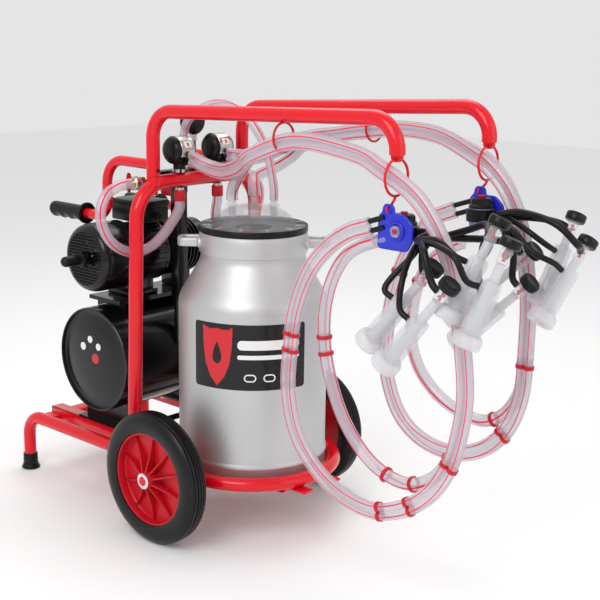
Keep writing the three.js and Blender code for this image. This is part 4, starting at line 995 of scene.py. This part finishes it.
# ---- swing arms, hooks, claws and cups --------------------------------------------------
ARM_Y, BOWL_Y = 145, 122
ARM_TIPS = {"right": (572, -ARM_Y, 918, 1002), "left": (588, ARM_Y, 926, 1013)}  # x, y, z and the crest's z
CLAWS = {
    "right": {"x": 572, "z": 791, "milk": (525.8, -140, 758.2), "outlet": (547, -141.5, 764.5),
              "pulse": (512.4, -146, 787.4)},
    "left": {"x": 588, "z": 802, "milk": (531.8, 146, 720.4), "outlet": (560, 146, 734.3),
             "pulse": (512.4, 143, 790.4)},
}
CUPS = {  # each cup's mouth and cap, and the ways of its milk tube and its pulse tube from the claw
    "right": [
        ((573, -225, 571), (706, -200, 739), [(636, -122, 772), (652, -160, 757)],
         [(634, -122, 786), (638, -165, 754)]),
        ((634, -248, 544), (767, -232, 719), [(636, -122, 772), (655, -168, 778), (700, -222, 772)],
         [(634, -122, 786), (642, -172, 765), (658, -228, 715)]),
        ((748, -209, 648), (806, -140, 830), [(640, -104, 775), (700, -96, 795), (755, -104, 815)],
         [(634, -122, 786), (644, -168, 780), (715, -198, 790)]),
        ((794, -218, 609), (848, -165, 800),
         [(640, -104, 775), (700, -90, 780), (770, -92, 786), (818, -118, 786)],
         [(634, -122, 786), (646, -172, 778), (720, -212, 785), (772, -226, 770)]),
    ],
    "left": [
        ((566, 66, 566), (739, 95, 737), [(650, 104, 780), (680, 100, 765)],
         [(640, 96, 780), (640, 88, 735)]),
        ((606, 30, 532), (758, 56, 680), [(650, 100, 785), (690, 68, 765), (712, 62, 735)],
         [(638, 92, 775), (640, 58, 735)]),
        ((760, 96, 629), (778, 185, 800), [(650, 108, 790), (700, 104, 800), (745, 118, 800)],
         [(650, 100, 800), (700, 88, 790), (745, 84, 770)]),
        ((794, 38, 608), (827, 150, 760), [(650, 100, 800), (720, 76, 815), (800, 74, 800), (838, 88, 765)],
         [(650, 96, 790), (710, 60, 780), (765, 48, 745)]),
    ],
}


def make_arm(side):
    x, y, z, crest = ARM_TIPS[side]
    arm = Piece(f"{side}_arm_tube")
    corners = [(PEG_X, y, 824.6), (PEG_X, y, 974), (x, y, crest), (x, y, z + 14)]
    arm.tube(rounded_path(corners, [65, 62], 20), 16, RED, sides=30)
    tip = [(x - 13, z + 22), (x - 12, z + 6), (x - 7, z + 1), (x, z), (x + 7, z + 1), (x + 12, z + 6),
           (x + 13, z + 22)]
    arm.plate(tip, y - 5, y + 5, RED, bevel=1)
    arm.rod((PEG_X - 1, y, 838), (PEG_X + 21, y - 0.01, 838), 4, BLACK, sides=6)
    arm.fit(f"{side}_arm")


WIRE_R, HOOK_RING_R = 2.8, 36


def make_hook(side):
    x, y, z, _ = ARM_TIPS[side]
    hook = Piece(f"{side}_hook_wire")
    centre = z + 7 - HOOK_RING_R
    hook.tube(hoop((x, y, centre), UP, LEFTWARD, HOOK_RING_R, 64), WIRE_R, RED, sides=14)
    eye_x, eye_z = CLAWS[side]["x"] - 16, CLAWS[side]["z"] + 31
    way = [(x, y, centre - 35), (x - 4, y, centre - 44), (eye_x + 1, y + 6, eye_z + 11),
           (eye_x, y + 6, eye_z + 2), (eye_x, y, eye_z - 4), (eye_x, y - 6, eye_z + 2),
           (eye_x, y - 6, eye_z + 9)]
    hook.tube(smooth_path(way, 2.5), WIRE_R, RED, sides=14)
    hook.fit(f"{side}_arm_hook")


def rounded_outline(corners, r):
    """A flat outline with each corner turned into a short curve."""
    points = []
    for i, corner in enumerate(corners):
        here = Vector(corner)
        before = (Vector(corners[i - 1]) - here).normalized() * r
        after = (Vector(corners[(i + 1) % len(corners)]) - here).normalized() * r
        for k in range(7):
            t = k / 6
            points.append(tuple(here + before * (1 - t) ** 2 + after * t ** 2))
    return points


def make_claw(side, sign):
    data = CLAWS[side]
    x, z, y = data["x"], data["z"], sign * ARM_Y
    bowl = (x + 4, sign * BOWL_Y)
    claw = Piece(f"{side}_claw_body")
    outline = rounded_outline([(x - 38, z - 42), (x + 30, z - 42), (x + 42, z - 22), (x + 42, z + 8),
                               (x + 22, z + 25), (x - 3, z + 25), (x - 6, z + 42), (x - 26, z + 42),
                               (x - 29, z + 25), (x - 38, z + 20)], 7)
    claw.plate(outline, y - 2.5, y + 2.5, BLUE)
    rim_path = [Vector((a, y, b)) for a, b in outline]
    claw.tube([*rim_path, rim_path[0]], 3.2, BLUE, sides=12)
    claw.rod((x - 16, y - 4.5, z + 31), (x - 16, y + 4.5, z + 31), 7, BLUE)
    loop = hoop((x + 6, y + sign * 3, z - 6), FORWARD, UP, 17, 40)
    claw.tube(loop, 3.4, BLUE, sides=12)
    claw.rod((x + 6, y + sign * 2, z - 6), (x + 6, y + sign * 9, z - 6), 12, CLEAR)
    claw.rod((x + 6, y + sign * 2, z - 6), (x + 6, y + sign * 11, z - 6), 5, RED_PLASTIC)
    claw.turned([(0, -36), (16, -35.4), (22, -33), (25.4, -28), (26, -22), (26, 2), (25, 4), (0, 4)],
                (*bowl, z), UP, CLEAR, sides=56)
    claw.turned([(0, 4), (26.5, 4), (26.5, 9), (23, 12), (22, 22), (19, 25), (0, 26)], (*bowl, z), UP,
                BLACK_PLASTIC, sides=56)
    low, high = sorted((sign * 124, y))
    claw.block((x - 26, low, z + 6), (x + 22, high, z + 22), BLUE, bevel=3)
    claw.turned([(0, 26), (7, 26), (7, 30), (0, 31)], (*bowl, z), UP, RED_PLASTIC)
    outlet = [data["milk"], data["outlet"], (bowl[0] - 6, bowl[1] + sign * 6, z - 26)]
    claw.tube(rounded_path(outlet, [8], 10), 8, CLEAR)
    for rise in (-9.5, 9.5):
        start = Vector(data["pulse"]) + Vector((-rise * 0.33, 0, rise * 0.945))
        run = x - 24 - start.x
        claw.rod(start, start + Vector((run, 0, run * 0.34)), 5.5, BLACK_PLASTIC)
    claw.fit(f"{side}_claw")


PORT_H = 112  # how far up a cup its pulse tube joins it


def cup_axes(mouth, cap):
    start = Vector(mouth)
    axis = Vector(cap) - start
    length = axis.length
    axis.normalize()
    upward = (UP - axis * axis.z).normalized()
    return start, axis, upward, length + 9


def make_cup(name, mouth, cap):
    start, axis, upward, length = cup_axes(mouth, cap)
    block = length - 50
    cup = Piece(f"{name}_body")
    cup.turned([(10, 0.6), (22, 0), (26, 0.8), (28.6, 4), (29, 10), (28.6, 17), (27, 22), (23, 26), (19, 27),
                (19, 23), (10, 21)], start, axis, LINER, sides=48)
    cup.turned([(21.5, 25), (21.5, 27), (19.6, 122), (18.6, 127), (15, 130), (10, 131), (10, 129),
                (16, 125.6), (17.6, 121), (19.6, 27), (19.6, 25)], start, axis, CLEAR, sides=48)
    cup.turned([(10, 24), (13, 30), (11.4, 60), (10.6, 110), (9.4, 128), (9.2, block - 4), (9.6, block),
                (6, block), (6.4, 110), (8, 40), (8, 24)], start, axis, LINER, sides=36)
    cup.turned([(0, 0), (10, 0), (12, 2), (12, 6), (11, 7), (11, 22), (12, 23), (12, 27), (9, 31), (0, 31)],
               start + axis * block, axis, CLEAR, sides=40)
    cup.turned([(0, 0), (17, 0.4), (20, 2), (21, 5), (21, 15), (20, 17.8), (17.6, 18.8), (16, 19), (14, 18),
                (0, 18)], start + axis * (length - 19), axis, BLACK_PLASTIC, sides=56)
    middle = start + axis * (block + 15)
    across = axis.cross(upward)
    for a in (across, axis):
        for b in (across, upward):
            if a != b:
                cup.tube([middle - a * 10 - b * 2, middle + a * 10 + b * 2], 2.4, RED_PLASTIC, sides=10)
    port = start + axis * PORT_H
    cup.rod(port + upward * 16, port + upward * 21, 5, CLEAR)
    cup.fit(name)


def make_claw_tubes(side, sign):
    data = CLAWS[side]
    bowl = (data["x"] + 4, sign * BOWL_Y)
    tubes = Piece(f"{side}_claw_tube_set")
    ring = []
    for i in range(49):
        heading = math.radians(-128 + 256 * i / 48 - sign * 30)
        ring.append([around((*bowl, data["z"] + h), FORWARD, LEFTWARD, r, heading)
                     for r, h in ((26.6, -25), (31, -24), (31.6, -12), (31, 1), (26.6, 2))])
    clear_of_plate = [r for r in ring if all(abs(p.y) < ARM_Y - 3.4 for p in r)]
    tubes.skin(clear_of_plate, RUBBER)
    for mouth, cap, milk_way, pulse_way in CUPS[side]:
        start, axis, upward, length = cup_axes(mouth, cap)
        valve = start + axis * (length - 35)
        side_way = Vector(milk_way[-1]) - valve
        side_way = (side_way - axis * side_way.dot(axis)).normalized()
        ends = [valve + side_way * r for r in (30, 13.4)]
        path = smooth_path([(bowl[0] + 29, bowl[1], data["z"] - 18), *milk_way, *ends], 6)
        tubes.tube(path, 7, RUBBER, sides=18)
        port = start + axis * PORT_H
        ends = [port + upward * r for r in (44, 21.3)]
        path = smooth_path([(bowl[0] + 29, bowl[1], data["z"] - 4), *pulse_way, *ends], 6)
        tubes.tube(path, 6, RUBBER, sides=18)
    tubes.fit(f"{side}_claw_tubes")


for side, sign in SIDES:
    make_arm(side)
    make_hook(side)
    make_claw(side, sign)
    make_claw_tubes(side, sign)
    for i, (mouth, cap, _, _) in enumerate(CUPS[side]):
        make_cup(f"{side}_teat_cup_{i + 1}", mouth, cap)

# ---- finishes of the CAD pieces that show as they are -----------------------------------
KEPT = {
    "tank_cradle": BLACK, "motor_stand": BLACK, "rotor": CHROME, "switch_knob": RED_PLASTIC,
    "gauge_needle": RED_PLASTIC,
}
for name, material in KEPT.items():
    for slot in nodes[name].material_slots:
        slot.material = material
